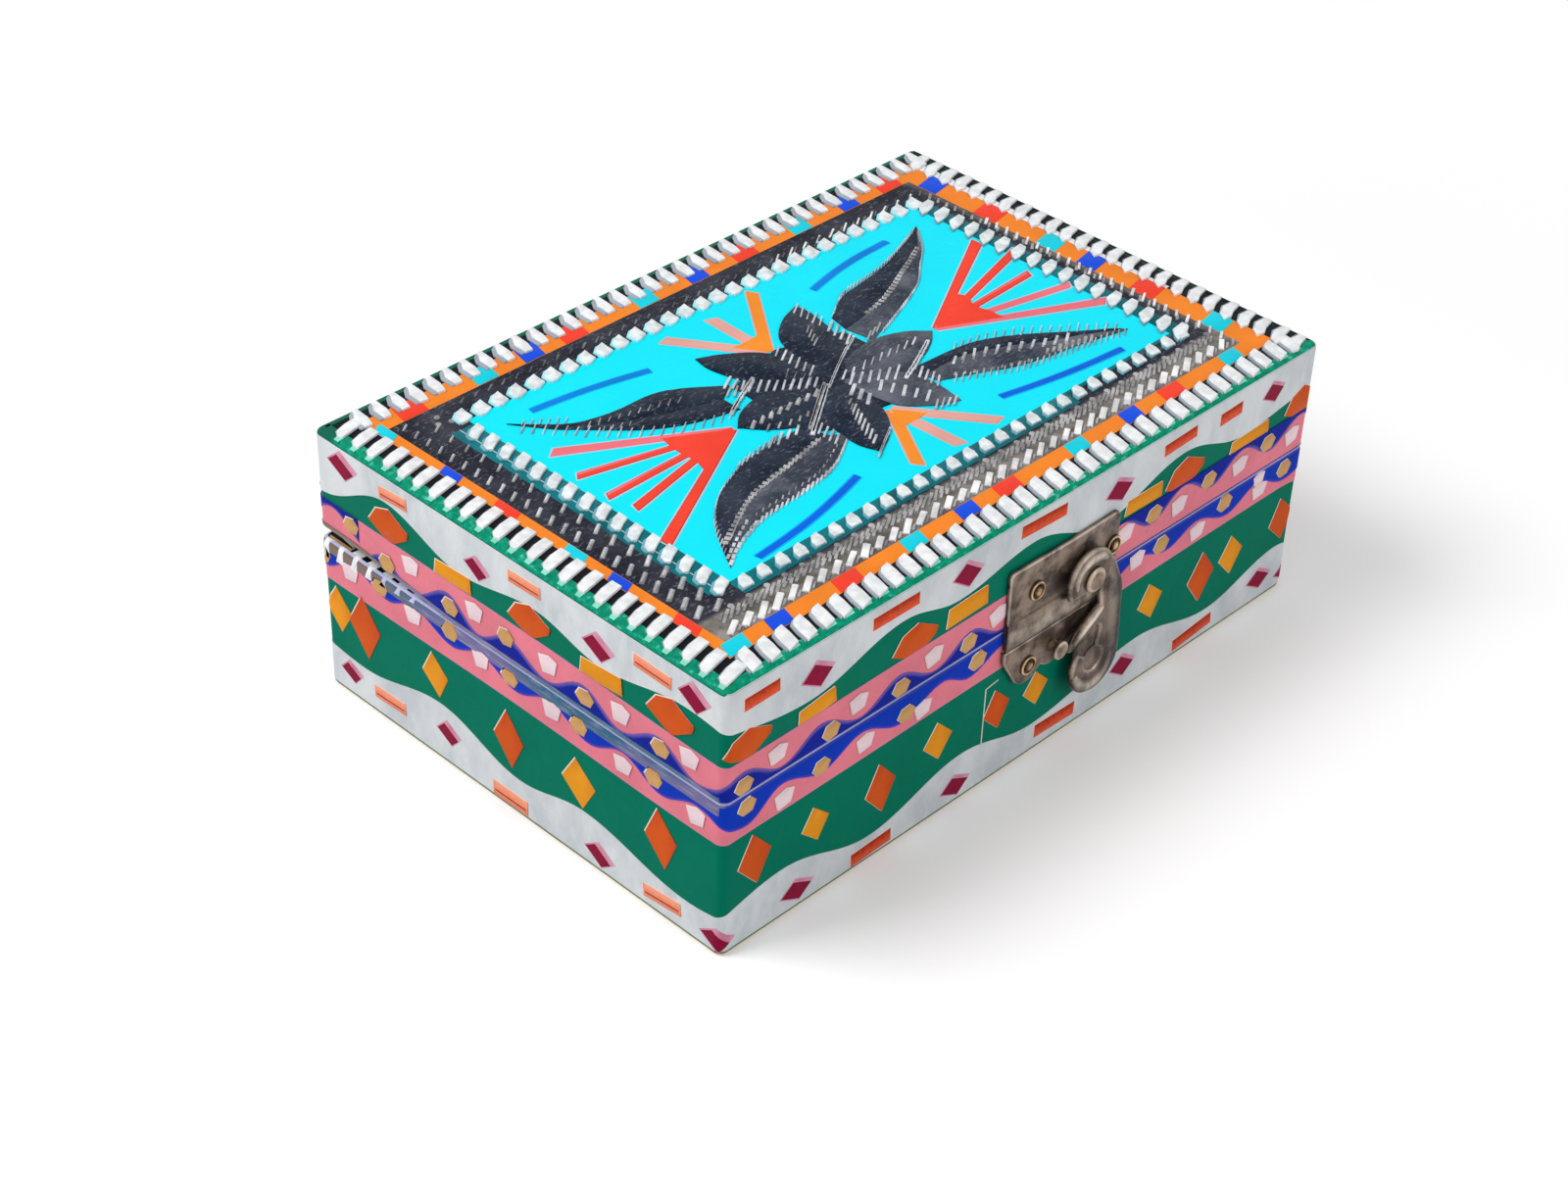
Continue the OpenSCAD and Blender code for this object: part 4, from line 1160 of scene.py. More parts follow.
def green_sheet():
    """Green tape over the whole top, with a lip that rolls down over the upper edges of the sides."""
    form = Form()
    roll_start = LID_TOP - TOP_ROLL
    lip = roll_start + 0.42
    full = roll_start + QUARTER * TOP_ROLL
    rolled = [(lip, TAPE), (lip, 1.6 * TAPE)]
    rolled += [(lerp(lip + 0.02, full, i / 5), 2 * TAPE) for i in range(6)]
    rings = [form.row([LID.place(u, v, d) for u in ALL_ROUND]) for v, d in rolled]
    for draw_in, z in ((TOP_ROLL + 0.6, SHEET_Z + 0.1), (TOP_ROLL + 0.75, SHEET_Z)):
        rings.append(form.row([(x, y, z) for x, y in plan_points(draw_in)]))
    form.tube(rings)
    piece("top_green_skin", form, [GREEN_FOLD_LIT], "lid", "green_tape", ["top_green_sheet"])


def edge_laps():
    """Tape over the edges of the black border: black on the right and green on the other sides."""
    form = Form()
    x0, y0, x1, y1 = rect_mm("top_black_border")
    for edges, look in (((x0 - 0.2, y0, x0 + 0.95, y1), 0), ((x0, y0 - 0.2, x1, y0 + 0.5), 0),
                        ((x1 - 0.2, y0, x1 + 0.5, y1), 1), ((x0, y1 - 0.6, x1, y1 + 0.2), 0)):
        slab(form, *edges, SHEET_Z + 0.05, EMBOSS_Z + 0.03, look)
    piece("top_green_lap", form, [GREEN_FOLD_LIT, BLACK], "lid", "green_tape")


def dress(node, look):
    """Gives a CAD node a new material and returns its object."""
    made = frame["nodes"][node]
    made.data.materials.clear()
    made.data.materials.append(look)
    return made


green_sheet()
edge_laps()
dress("top_black_border", BLACK)
dress("top_orange_border", BORDER)
dress("top_dark_band", BAND)
dress("top_cyan_field", CYAN)

# Rows of teeth: first and last place, how many, the way to the side of a tooth in painted shade, how far
# the white is drawn in there, the look of the painted shade, the outline of a tooth as (right, forward) of
# its place, and perhaps that of its pale green end, where its tape laps over the green
OUTER_ROWS = [
    ((7.0, 4.2), (7.0, 97.2), 24, (-0.25, 0.95), 0.3, 1,
     [(0, -1.35), (0.15, 1.15), (-2.5, 1.75), (-5.4, 2.4), (-5.7, 1.3), (-5.0, -0.1), (-2.6, -0.95)],
     [(-5.2, 2.3), (-6.5, 2.6), (-6.5, 1.4), (-5.5, 1.0)]),
    ((8.3, 94.7), (146.8, 94.9), 35, (-0.98, 0.2), 0.55, 1,
     [(-1.0, 0.8), (0.1, 0.1), (2.2, -0.15), (1.8, 2.3), (1.15, 4.75), (-2.1, 5.3), (-1.65, 2.8)],
     [(1.2, 4.5), (0.9, 5.35), (-1.5, 5.4), (-1.2, 4.9)]),
    ((151.2, 4.4), (151.2, 97.6), 25, (0.1, 0.9), 0.5, 1,
     [(0, -0.7), (0, 0.9), (-2.6, 1.9), (-4.6, 2.9), (-6.2, 2.6), (-5.2, 0.5), (-2.8, -0.9)]),
    ((7.2, 1.1), (147.8, 1.3), 36, (-0.95, 0.1), 0.9, 1,
     [(0.6, 0), (1.8, 0), (1.6, 3.4), (0.9, 5.7), (-1.6, 5.5), (-1.5, 2.4), (-0.4, 0.6)]),
]
INNER_ROWS = [
    ((21.3, 19.8), (20.8, 80.0), 16, (-0.8, 0.4), 0.6, 1,
     [(0, -1.2), (-0.1, 0.9), (-1.4, 1.5), (-3.8, 2.4), (-4.5, 1.9), (-4.2, 0.4), (-2.4, -0.9)]),
    ((22.4, 80.9), (134.6, 80.9), 28, (-0.7, -0.4), 0.6, 1,
     [(0.1, 0.1), (1.6, -0.2), (1.6, 1.5), (1.0, 3.0), (-1.7, 3.1), (-1.5, 1.7)]),
    ((138.0, 18.6), (138.2, 81.4), 17, (-0.8, -0.4), 0.6, 1,
     [(0, -1.3), (0, 0.3), (-1.6, 1.3), (-4.2, 2.2), (-5.8, 2.3), (-5.2, 1.0), (-3.2, -0.9)]),
    ((20.8, 13.1), (134.6, 14.3), 29, (-0.8, 0.5), 0.5, 2,
     [(-0.2, 0.2), (1.7, 0), (1.5, 1.75), (1.5, 3.2), (-0.3, 3.9), (-1.8, 3.6), (-1.8, 1.4)]),
]
# Pale tape that joins the inner ends of the outer teeth on the right
PALE_STRIP = [(146.2, 5.0), (148.3, 5.0), (147.2, 70.0), (146.2, 70.0)]


def teeth(form, first, last, count, shaded, drawn_in, shade, shape, tail=None):
    """Row of plump teeth between two places. Each is a block in painted shade under a white one."""
    shaded = Vector(shaded).normalized()
    for i in range(count):
        x, y = (lerp(a, b, i / (count - 1)) + DICE.uniform(-0.1, 0.1) for a, b in zip(first, last))
        grow = DICE.uniform(0.97, 1.03)
        high = EMBOSS_Z + (TOP_Z - EMBOSS_Z) * DICE.uniform(0.9, 1)
        corners = [Vector(top(x + dx * grow, y + dy * grow)) for dx, dy in shape]
        middle = sum(corners, Vector((0, 0))) / len(corners)
        white = [c - shaded * drawn_in * clamp((c - middle).dot(shaded) / 0.6, 0, 1) for c in corners]
        pad(form, inset(corners, 0.03), EMBOSS_Z, lerp(EMBOSS_Z, high, 0.6), 0.12, look=shade, base=0.4)
        pad(form, white, EMBOSS_Z, high, 0.15, base=0.6)
        if tail:
            end = [top(x + dx, y + dy) for dx, dy in tail]
            pad(form, end, EMBOSS_Z, EMBOSS_Z + 0.08, 0.03, 1, look=2)


def top_teeth():
    outer, inner = Form(), Form()
    for form, rows in ((outer, OUTER_ROWS), (inner, INNER_ROWS)):
        for row in rows:
            teeth(form, *row)
    pad(outer, [top(*p) for p in PALE_STRIP], EMBOSS_Z, EMBOSS_Z + 0.05, 0.02, 1, base=0.75)
    piece("outer_plump_teeth", outer, [PLUMP, PLUMP_SHADE, MINT], "lid", "embossed_white", ["outer_teeth"])
    piece("inner_plump_teeth", inner, [PLUMP_TINT, PLUMP_TEAL_SHADE, PLUMP_CYAN_SHADE], "lid", "embossed_white",
          ["inner_teeth"])


def teal_film():
    """Edge of the cyan film: dark teal where it laps over the foil under the inner teeth, which also paints
    the shade between the teeth, and cyan behind.
    """
    form = Form()
    high = EMBOSS_Z + 0.02
    for x0, y0, x1, y1 in ((16, 17.8, 21, 81), (20.6, 80.6, 104, 84.5), (104, 80.6, 134.2, 81.4),
                           (134, 16.8, 137.6, 81)):
        slab(form, *top(x0, y1), *top(x1, y0), EMBOSS_Z, high)
    slab(form, *top(17.9, 81), *top(18.1, 17.8), high, high + 0.04, 1, 0.03)
    x0, _, x1, y1 = rect_mm("top_cyan_field")
    behind = [(x0, y1 - 0.2), (x1, y1 - 0.2), (x1, y1 + 0.9), (x0, y1 + 1.3)]
    pad(form, behind, EMBOSS_Z, high, 0.02, 1, look=2)
    piece("teal_film_edge", form, [TEAL, HALO, CYAN], "lid", "cyan_tape")


top_teeth()
teal_film()


# Chips of colour along the orange border

ORANGE_EDGE = rect_mm("top_orange_border")
DARK_EDGE = rect_mm("top_dark_band")
CHIP_GAP = 0.1
CHIP_SLANT = 0.5
# Look, slot, length, and the middles of the chips on the left, the front, the right and the back. Those on
# the front and the back are measured from the left edge, and the others from the back edge.
CHIPS = {
    "cyan": (CHIP_CYAN, "chip_cyan", 4.8,
             [(10, 58.2), (10, 51, 92.7, 135.8), (44, 84), (32.5, 71.5, 112)]),
    "blue": (CHIP_BLUE, "chip_blue", 4.6,
             [(27.2, 68.7), (19.5, 64.2, 107.3), (13.5, 54), (43.5, 84.5, 125.5)]),
    "red": (RED, "red_tape", 5.6,
            [(41.3, 84.2), (35.2, 74.4, 118.7), (28.5, 67.5), (16, 53.5, 97, 137)]),
}


def chip_outline(side, middle, length):
    """Slanting chip across the border, on side 0 to 3 in the order of the table."""
    low, high = sorted((ORANGE_EDGE[side], DARK_EDGE[side]))
    lengthwise = side % 2
    at = top(middle, middle)[1 - lengthwise]
    a, b = at - length / 2, at + length / 2
    near, far = low + CHIP_GAP, high - CHIP_GAP
    corners = [(a - CHIP_SLANT, near), (b - CHIP_SLANT, near), (b + CHIP_SLANT, far), (a + CHIP_SLANT, far)]
    return corners if lengthwise else [(x, y) for y, x in corners]


for colour, (look, slot, length, sides) in CHIPS.items():
    form = Form()
    for side, middles in enumerate(sides):
        for middle in middles:
            pad(form, chip_outline(side, middle, length), EMBOSS_Z, EMBOSS_Z + TAPE)
    piece(f"{colour}_border_chips", form, [look], "lid", slot, [f"{colour}_chips"])


# Silver stitches, all pressed the same way across the top

STITCH_WAY = Vector((math.cos(PRESS_ANGLE), math.sin(PRESS_ANGLE)))
# Rows on the dark band: first and last place, spacing, length, width, extra height and look
BAND_ROWS = [
    ((24, 11), (140, 14.2), 3.1, 1.9, 0.42, 0, 3),
    ((100, 13), (138, 14), 3.6, 3.0, 0.4, 0, 0),
    ((13, 86.4), (139, 86.2), 1.3, 2.1, 0.6, 0, 1),
    ((13, 87.3), (139, 87.1), 1.5, 2.0, 0.6, 0.05, 1),
    ((12.4, 89.7), (140.4, 89.6), 3.38, 4.0, 1.25, 0.14, 0),
    ((11.4, 90.5), (140.4, 90.4), 1.69, 1.9, 0.5, 0, 1),
    ((13.4, 88.7), (140.4, 88.6), 3.38, 1.5, 0.34, 0, 1),
    ((139.6, 16), (139.6, 84), 2.2, 1.9, 0.6, 0, 1),
    ((140.4, 30), (140.4, 88), 2.6, 2.6, 0.6, 0.1, 0),
]
STITCH_HEIGHT = 0.24
RING_RADIUS = 0.62
RINGS = [(16.5 + 4.07 * i, 85.4) for i in range(31)] + [(17.6, 12.2), (18.7, 14.8), (16.4, 14.0)]


def stitch(form, at, length, width, low, high, look):
    """One small raised bar."""
    way = (STITCH_WAY + Vector((DICE.uniform(-0.06, 0.06), DICE.uniform(-0.06, 0.06)))).normalized()
    side = left_of(way) * width / 2
    end = way * length / 2
    shape = [at - end - side, at + end - side, at + end * 1.04,
             at + end + side, at - end + side, at - end * 1.04]
    pad(form, shape, low, high, width * 0.32, look=look, base=0.2)


def stitch_row(form, line, spacing, length, width, low, high, look):
    """Stitches at equal spacing along a line."""
    for at in along_line(line, spacing, 0.3):
        long = length * DICE.uniform(0.82, 1.15)
        stitch(form, at, long, width * DICE.uniform(0.85, 1.15), low, high, look)


def ticks(form, x, first, pitch, low, high):
    """Row of ticks down the left of the dark band, larger in front: a bright one on each wider dull one,
    which paints its shaded side.
    """
    count = int((88 - first) / pitch)
    for i in range(count):
        near = i / count
        at = Vector(top(x + DICE.uniform(-0.15, 0.15), first + i * pitch))
        stitch(form, at, lerp(2.0, 3.4, near), lerp(0.45, 1.1, near), low, high, 1)
        at += Vector((0.15, 0.2))
        stitch(form, at, lerp(1.5, 3.0, near), lerp(0.26, 0.62, near), low, high + 0.06, 2)


def band_stitches():
    """Stitches on the dark band: ticks on the left, rings, rope and bright bars on the front."""
    form = Form()
    low, high = EMBOSS_Z, EMBOSS_Z + STITCH_HEIGHT
    ticks(form, 11.5, 11, 3.14, low, high)
    ticks(form, 15.2, 15, 4.05, low, high)
    for first, last, spacing, length, width, extra, look in BAND_ROWS:
        line = [Vector(top(*first)), Vector(top(*last))]
        stitch_row(form, line, spacing, length, width, low, high + extra, look)
    for place in RINGS:
        pad(form, arc(top(*place), RING_RADIUS, 0, 315, 7), low, high, 0.22, look=1, base=0.2)
    piece("dark_band_stitches", form, [SILVER, DULL_SILVER, PETAL_SILVER, DARK_SILVER], "lid", "dark_foil")


band_stitches()


# Petals, in distances from the left and the back edge of the top

# Each long petal has its tip, then its back edge, rib and front edge from the tip to the root
LONG_PETALS = [
    ((25, 21.9), [(31.8, 28.2), (35.9, 30.3), (42, 31.5), (49.6, 31.8), (54.7, 33.8), (62, 39)],
     [(30.8, 28.6), (38, 33.6), (47, 37.8), (58, 41.5)],
     [(29.8, 28.4), (32.3, 30.9), (36.1, 34.6), (40.7, 38.8), (45.8, 42), (50.9, 44), (58, 45.8)]),
    ((128.7, 22.5), [(124.5, 24.6), (119.7, 26.4), (114.5, 28.3), (109.2, 29.6), (103.9, 30.4),
                     (98.6, 31.5), (92, 35.2)],
     [(122.7, 28.4), (117.9, 30.9), (113.1, 33), (107.8, 35.7), (102.6, 37.5), (97.3, 38.6), (91, 39.8)],
     [(127.2, 24.6), (123.2, 29.3), (118.4, 33), (113.1, 37.3), (107.8, 39.9), (102.6, 42), (98, 43.4),
      (92, 45.7)]),
    ((23.7, 78.1), [(26.6, 73.1), (30.5, 67.5), (36.8, 62), (44.7, 58.5), (52.6, 57.3), (63, 57)],
     [(29.8, 72.4), (36.4, 68.3), (40.7, 66.3), (44.5, 65.3), (50.9, 64.2), (55.9, 63.2), (63, 61.5)],
     [(28.2, 75.2), (32.3, 72.8), (39.4, 71.6), (46.5, 71.1), (53.7, 70.1), (58.5, 68.6), (66, 64)]),
    ((129.3, 74.6), [(127.2, 72.4), (123.7, 70.1), (119.7, 67.2), (115.8, 64.3), (111.8, 61.6),
                     (106.5, 59), (101.2, 57.7), (91, 57)],
     [(121.6, 70.2), (115, 67.4), (108.6, 63.6), (102, 60.8), (97.3, 60), (90, 60)],
     [(123.7, 73.3), (118.4, 72), (113.1, 71.2), (107.8, 70.1), (102.8, 68.5), (98.6, 66.4), (90.5, 63)]),
]
SHORT_PETALS = [
    ((53.4, 49.6), [(57.3, 46.5), (63.6, 45.1), (71.5, 47.4)],
     [(57.3, 54), (62.8, 57), (68, 55.5), (75, 51.5)]),
    ((102.2, 50.8), [(98.4, 47.6), (92.6, 45.6), (86.4, 46), (80, 48.5)],
     [(99, 53.4), (93.5, 55.8), (86.4, 55.2), (80, 52)]),
    ((63.6, 28.6), [(63.2, 33.7), (66.3, 42.5), (74, 50)], [(68.6, 31), (74.6, 36.2), (78.6, 47)]),
    ((90, 27.8), [(84.2, 30), (79, 35), (76.5, 46)], [(90.2, 32), (88, 40), (80.5, 50)]),
    ((66.4, 71.6), [(64.9, 66.5), (66.6, 58.5), (73, 51.5)], [(71.4, 68.8), (76, 63.4), (79, 53)]),
    ((88.6, 70), [(83.2, 67.4), (78.6, 62.2), (77.4, 52)], [(89.4, 63.6), (88, 57), (81.5, 51)]),
]
# Foil under the rosette's middle
ROSETTE_MIDDLE = [(62, 40), (76, 36), (90, 40), (91, 60), (84, 63), (76, 62), (66, 62), (61, 58)]
BOLD = 1.12
# Rows of stitches: places along the row, spacing, length, width and 0 for bright or 1 for dull
EDGE_ROWS = [
    ([(24.4, 77.4), (28.8, 74.8), (36, 72)], 1.7, 1.45, 0.7, 0),
    ([(25.2, 75.9), (29.4, 73.5), (35, 70.6)], 1.7, 1.3, 0.55, 0),
    ([(34, 72.6), (39.4, 71.6), (46.5, 71.1), (53.7, 70.1), (58.5, 68.6), (65, 64.8)], 1.35, 1.7, 0.42, 0),
    ([(37, 70.4), (46.5, 69.6), (53.7, 68.8), (62, 65.2)], 1.7, 1.1, 0.3, 1),
    ([(26, 74.6), (30.5, 67.6), (36.8, 62.1), (44.7, 58.6)], 1.3, 1.6, 0.22, 0),
    ([(45, 58.2), (50, 57.2), (56, 56.6)], 1.5, 2.7, 0.34, 0),
    ([(27.6, 72.8), (36.4, 68), (40.7, 66), (44.5, 65), (50.9, 63.9), (55.9, 62.9), (61.5, 61.6)],
     1.25, 1.05, 1.1, 1),
    ([(29.4, 72.4), (36.4, 68.2), (40.7, 66.2), (50.9, 64.1), (61.5, 61.8)], 1.25, 0.8, 0.26, 0),
    ([(26, 24.6), (30.4, 29.6), (36, 35.6), (40.7, 39.6), (45.8, 43), (50.9, 45), (57, 46.4)],
     1.85, 3.0, 0.24, 0),
    ([(27, 23.4), (31, 26.2), (34, 28.4)], 1.5, 1.8, 0.16, 0),
    ([(35, 31.6), (42, 33.6), (48, 35.2), (53.4, 37)], 1.95, 2.0, 0.3, 1),
    ([(36, 34.2), (41, 36.4)], 1.6, 1.4, 0.26, 1),
    ([(122.6, 28.4), (117.9, 30.8), (113.1, 32.9), (107.8, 35.6), (102.6, 37.4), (97.3, 38.6)],
     1.25, 1.05, 1.1, 1),
    ([(122.6, 28.2), (113.1, 32.7), (102.6, 37.2), (97.3, 38.4)], 1.25, 0.8, 0.3, 0),
    ([(127.4, 24.2), (123.2, 29.2), (118.4, 33), (113.1, 37.3), (107.8, 39.9), (102.6, 42), (95, 44.9)],
     0.95, 1.7, 0.24, 0),
    ([(127, 23.4), (119.7, 26.2), (114.5, 28), (109.2, 29.2), (100, 30.6), (93, 34.6)], 1.15, 2.2, 0.22, 0),
    ([(101, 57), (106.5, 58), (111.8, 60.4), (115.8, 63), (119.7, 66), (124, 69), (128.8, 73.2)],
     1.75, 2.7, 0.26, 0),
    ([(97.3, 60.3), (102, 61), (108, 63.8), (114, 67), (119.7, 69.4)], 2.3, 2.8, 0.6, 0),
    ([(98.4, 61.4), (104, 63), (110, 66), (118, 69.8)], 2.3, 1.9, 0.5, 1),
    ([(112, 69.6), (122, 72.2)], 1.4, 2.4, 0.6, 1),
    ([(93, 64.4), (98.6, 67), (102.8, 69), (107.8, 70.6), (113.1, 71.7), (123.7, 73.7), (128.6, 75)],
     1.35, 2.4, 0.3, 0),
    ([(94, 63.4), (100, 66.6), (108, 69.8)], 1.8, 1.2, 0.5, 1),
]
ROSETTE_ROWS = [
    ([(61.9, 59.6), (74.4, 51)], 0.62, 2.6, 0.72, 0),
    ([(62.6, 58.2), (74, 50.4)], 0.9, 2.2, 0.6, 1),
    ([(74.8, 51.2), (83.5, 46), (89.8, 42.8)], 0.85, 2.4, 0.46, 0),
    ([(56.1, 45.6), (60.6, 43.2), (66, 40.6)], 0.75, 2.0, 0.72, 0),
    ([(87, 58.4), (91.6, 56.4), (98.4, 53)], 0.8, 2.2, 0.72, 0),
    ([(62, 38), (64, 41.4), (68, 45), (74, 49)], 1.45, 3.7, 0.46, 0),
    ([(60, 40.4), (62.6, 42)], 1.3, 3.0, 0.4, 1),
    ([(76.1, 36.6), (75.9, 46.6)], 1.75, 3.6, 0.38, 0),
    ([(72, 43), (73.4, 48)], 1.6, 3.0, 0.2, 1),
    ([(89.2, 28.4), (89.4, 36)], 1.55, 3.4, 0.3, 0),
    ([(89.4, 37), (88.6, 43.6)], 1.75, 3.8, 0.44, 0),
    ([(92, 44.4), (96, 43.4)], 1.7, 3.2, 0.36, 0),
    ([(85.8, 35), (83.4, 39.6)], 1.5, 2.6, 0.3, 1),
    ([(84, 50.6), (98.5, 51.2)], 2.1, 2.7, 0.36, 0),
    ([(79, 52.2), (83, 54.4), (87.4, 56.6)], 1.7, 4.4, 0.46, 0),
    ([(79, 50.4), (82, 51.2)], 1.8, 3.4, 0.4, 0),
    ([(76.8, 54.6), (76.6, 60.6)], 2.0, 3.8, 0.7, 0),
    ([(72.8, 59), (70.6, 63), (67.6, 69.4)], 1.7, 2.9, 0.44, 0),
    ([(73.8, 57), (71, 61), (68.4, 66)], 1.7, 1.8, 0.36, 1),
    ([(81.4, 57), (83.4, 61.6), (85.8, 66.4)], 2.2, 3.4, 0.6, 0),
    ([(84, 68), (88, 69.6)], 1.2, 2.8, 0.4, 0),
    ([(90, 58.8), (90.2, 63.4)], 1.35, 3.7, 0.42, 0),
    ([(63.6, 59.4), (63.4, 64)], 1.4, 3.3, 0.42, 0),
    ([(55.6, 51), (64, 51), (73, 51.4)], 2.2, 2.4, 0.72, 1),
    ([(55.9, 50.6), (73.4, 51)], 2.2, 1.6, 0.3, 0),
    ([(54, 57), (61.6, 57.4)], 2.0, 3.6, 0.42, 0),
    ([(65.4, 72), (69, 69.9), (72.4, 67.9)], 0.9, 2.4, 0.36, 0),
    ([(57, 53.2), (62, 55), (68, 54.8)], 2.1, 2.0, 0.4, 1),
]


def top_line(places):
    return smooth_line([top(*p) for p in places])


def petals():
    """Long and short petals of dark foil, and the stitches along and across them."""
    low, mid = EMBOSS_Z, EMBOSS_Z + STITCH_HEIGHT
    long_ones, short_ones, trim = Form(), Form(), Form()
    for i, (tip, *edges) in enumerate(LONG_PETALS):
        back_line, rib_line, front_line = (top_line([tip] + edge) for edge in edges)
        pad(long_ones, back_line + rib_line[:0:-1], low, mid, 0.12)
        pad(long_ones, rib_line + front_line[:0:-1], low, mid - 0.02, 0.12, look=1 if i else 0)
    for i, (tip, *edges) in enumerate(SHORT_PETALS):
        back_line, front_line = (top_line([tip] + edge) for edge in edges)
        high = mid + 0.03 + 0.014 * i
        pad(short_ones, back_line + front_line[:0:-1], low, high, 0.12, look=1 if i in (1, 5) else 0)
    pad(short_ones, [top(*p) for p in ROSETTE_MIDDLE], low, mid + 0.02, 0.12)
    for rows, foot, bright, dull in ((EDGE_ROWS, low, mid + 0.16, mid + 0.1),
                                     (ROSETTE_ROWS, mid, TOP_Z, TOP_Z - 0.06)):
        for places, spacing, length, width, look in rows:
            line = top_line(places)
            stitch_row(trim, line, spacing, length, BOLD * width, foot, dull if look else bright, look)
    piece("long_foil_petals", long_ones, [PETAL, PETAL_PALE], "lid", "dark_foil", ["long_petals"])
    piece("short_foil_petals", short_ones, [PETAL, PETAL_PALE], "lid", "dark_foil", ["short_petals"])
    piece("petal_stitches", trim, [PETAL_SILVER, DULL_SILVER], "lid", "dark_foil")


petals()


# Fans of rays

# Apex, tips, the rays that are pale and those that have a rose back edge
RED_FANS = [
    ((52.6, 49.4), [(25, 33.7), (23.4, 41.9), (23, 49.8), (24.2, 55.3), (20.8, 66)], (0,), (1, 2)),
    ((103.4, 50.6), [(132.9, 34.5), (136.2, 41.5), (131.3, 49), (133.7, 56.9), (134.1, 65.2)], (3, 4), (2,)),
]
# Apex, tips and the rays that are pale
ORANGE_FANS = [
    ((75, 35.6), [(64, 20.2), (75.4, 20.8), (87.6, 18.9)], (0, 1)),
    ((77.4, 63.6), [(68.3, 78.2), (78.2, 78.9), (88.8, 78.6)], (1, 2)),
]


def ray_outline(a, b, half_root, half_tip, grow):
    """Ray from a to b with its end cut slantwise, wider by grow on every side."""
    along = (b - a).normalized()
    side = left_of(along)
    slant = along * half_tip * 0.5
    corner = (side * 0.7 - along * 0.3) * 0.2
    root, tip = side * (half_root + grow), side * (half_tip + grow)
    b = b + along * grow
    return [a + root, b + tip + slant - along * 0.2, b + tip + slant - corner, b - tip - slant + corner * 0.5,
            b - tip - slant - along * 0.1, a - root]


def ray(form, apex, tip, wide_root, wide_tip, high, halo, line, colour, edge=None):
    """One ray of tape: a pale film, a line round it and its colour, and perhaps a back edge of its own.
    The last four are looks."""
    a, b = Vector(top(*apex)), Vector(top(*tip))
    for grow, height, look in ((0.42, 0.4, halo), (0.12, 0.7, line), (0, 1, colour)):
        shape = ray_outline(a, b, wide_root / 2, wide_tip / 2, grow)
        pad(form, shape, EMBOSS_Z, lerp(EMBOSS_Z, high, height), 0.03, 1, look=look)
    if edge is not None:
        along = (b - a).normalized()
        side = left_of(along)
        side *= math.copysign(1, side.y)
        start = a.lerp(b, 0.42) + side * wide_root * 0.42
        far = b - along * 0.2 + side * wide_tip * 0.28
        shape = ray_outline(start, far, 0.1, wide_tip * 0.2, 0)
        pad(form, shape, EMBOSS_Z, high + 0.03, 0.03, 1, look=edge)


def web(form, apex, tips, reach):
    """Solid part of a fan near its apex."""
    centre = Vector(top(*apex))
    points = [centre] + [centre.lerp(Vector(top(*tip)), reach) for tip in tips]
    pad(form, points, EMBOSS_Z, EMBOSS_Z + 0.14, 0.03, 1)


def fans():
    red, orange = Form(), Form()
    heights = [EMBOSS_Z + 0.1 + 0.006 * i for i in range(5)]
    for apex, tips, pale, edged in RED_FANS:
        for i, (tip, high) in enumerate(zip(tips, heights)):
            looks = (2, 1, 1) if i in pale else (2, 3, 0, 1 if i in edged else None)
            ray(red, apex, tip, 1.2, 2.1 if i in (0, 4) else 1.6, high, *looks)
        web(red, apex, tips, 0.4)
    for apex, tips, pale in ORANGE_FANS:
        for i, (tip, high) in enumerate(zip(tips, heights)):
            looks = (1, 1, 1) if i in pale else (1, 0, 0)
            ray(orange, apex, tip, 1.8, 1.9, high, *looks)
        web(orange, apex, tips, 0.34)
    piece("red_fans", red, [RED, ROSE, HALO, DARK_RED], "lid", "red_tape", ["red_rays"])
    piece("orange_fans", orange, [RAY, PEACH], "lid", "ray_orange", ["orange_rays"])


fans()


def blue_strokes():
    """Four bowed dashes of blue tape beside the long petals, with a brighter edge."""
    form = Form()
    for start, end, bow, look in (((30.9, 21.5), (55.3, 25.8), 0.6, 2), ((96.7, 25.8), (120.3, 22.7), 0.9, 2),
                                  ((29, 79), (58.1, 73.8), -0.9, 0), ((94.7, 73.8), (123.4, 78.2), -0.6, 0)):
        a, b = Vector(top(*start)), Vector(top(*end))
        side = left_of(b - a).normalized()
        line = [a.lerp(b, i / 8) + side * bow * math.sin(math.pi * i / 8) for i in range(9)]
        for half, share, shown in ((0.95, 0.4, 1), (0.6, 1, look)):
            shape = [p + side * half for p in line] + [p - side * half for p in reversed(line)]
            pad(form, shape, EMBOSS_Z, EMBOSS_Z + TAPE * share, 0.02, 1, look=shown)
    piece("blue_strokes", form, [STROKE, STROKE_EDGE, STROKE_PALE], "lid", "chip_blue", ["blue_dashes"])


blue_strokes()


# Latch, seen from the front: x to the right, z up

CLASP_LOW, CLASP_HIGH = box_mm("clasp_plate")
LATCH_Y = -CLASP_HIGH[1]
PLATE_T = 0.8
PLATE_Y = LATCH_Y + PLATE_T
HOOK_Y = -box_mm("clasp_hook")[1][1]
HOOK_FACE = -box_mm("clasp_hook")[0][1]
PIVOT = (10.3, 35.6)
POST = (3.3, 23.6)
CLASP_NAILS = ((-2.8, 38.6), (17.6, 38.3))
CATCH_NAILS = ((-3.3, 22.8), (16.6, 22.8))
NAIL_HEAD = 1.9
# Angles over a rounded ridge, from its one foot to the other
HALF_ROUND = [math.pi * i / 12 for i in range(13)]
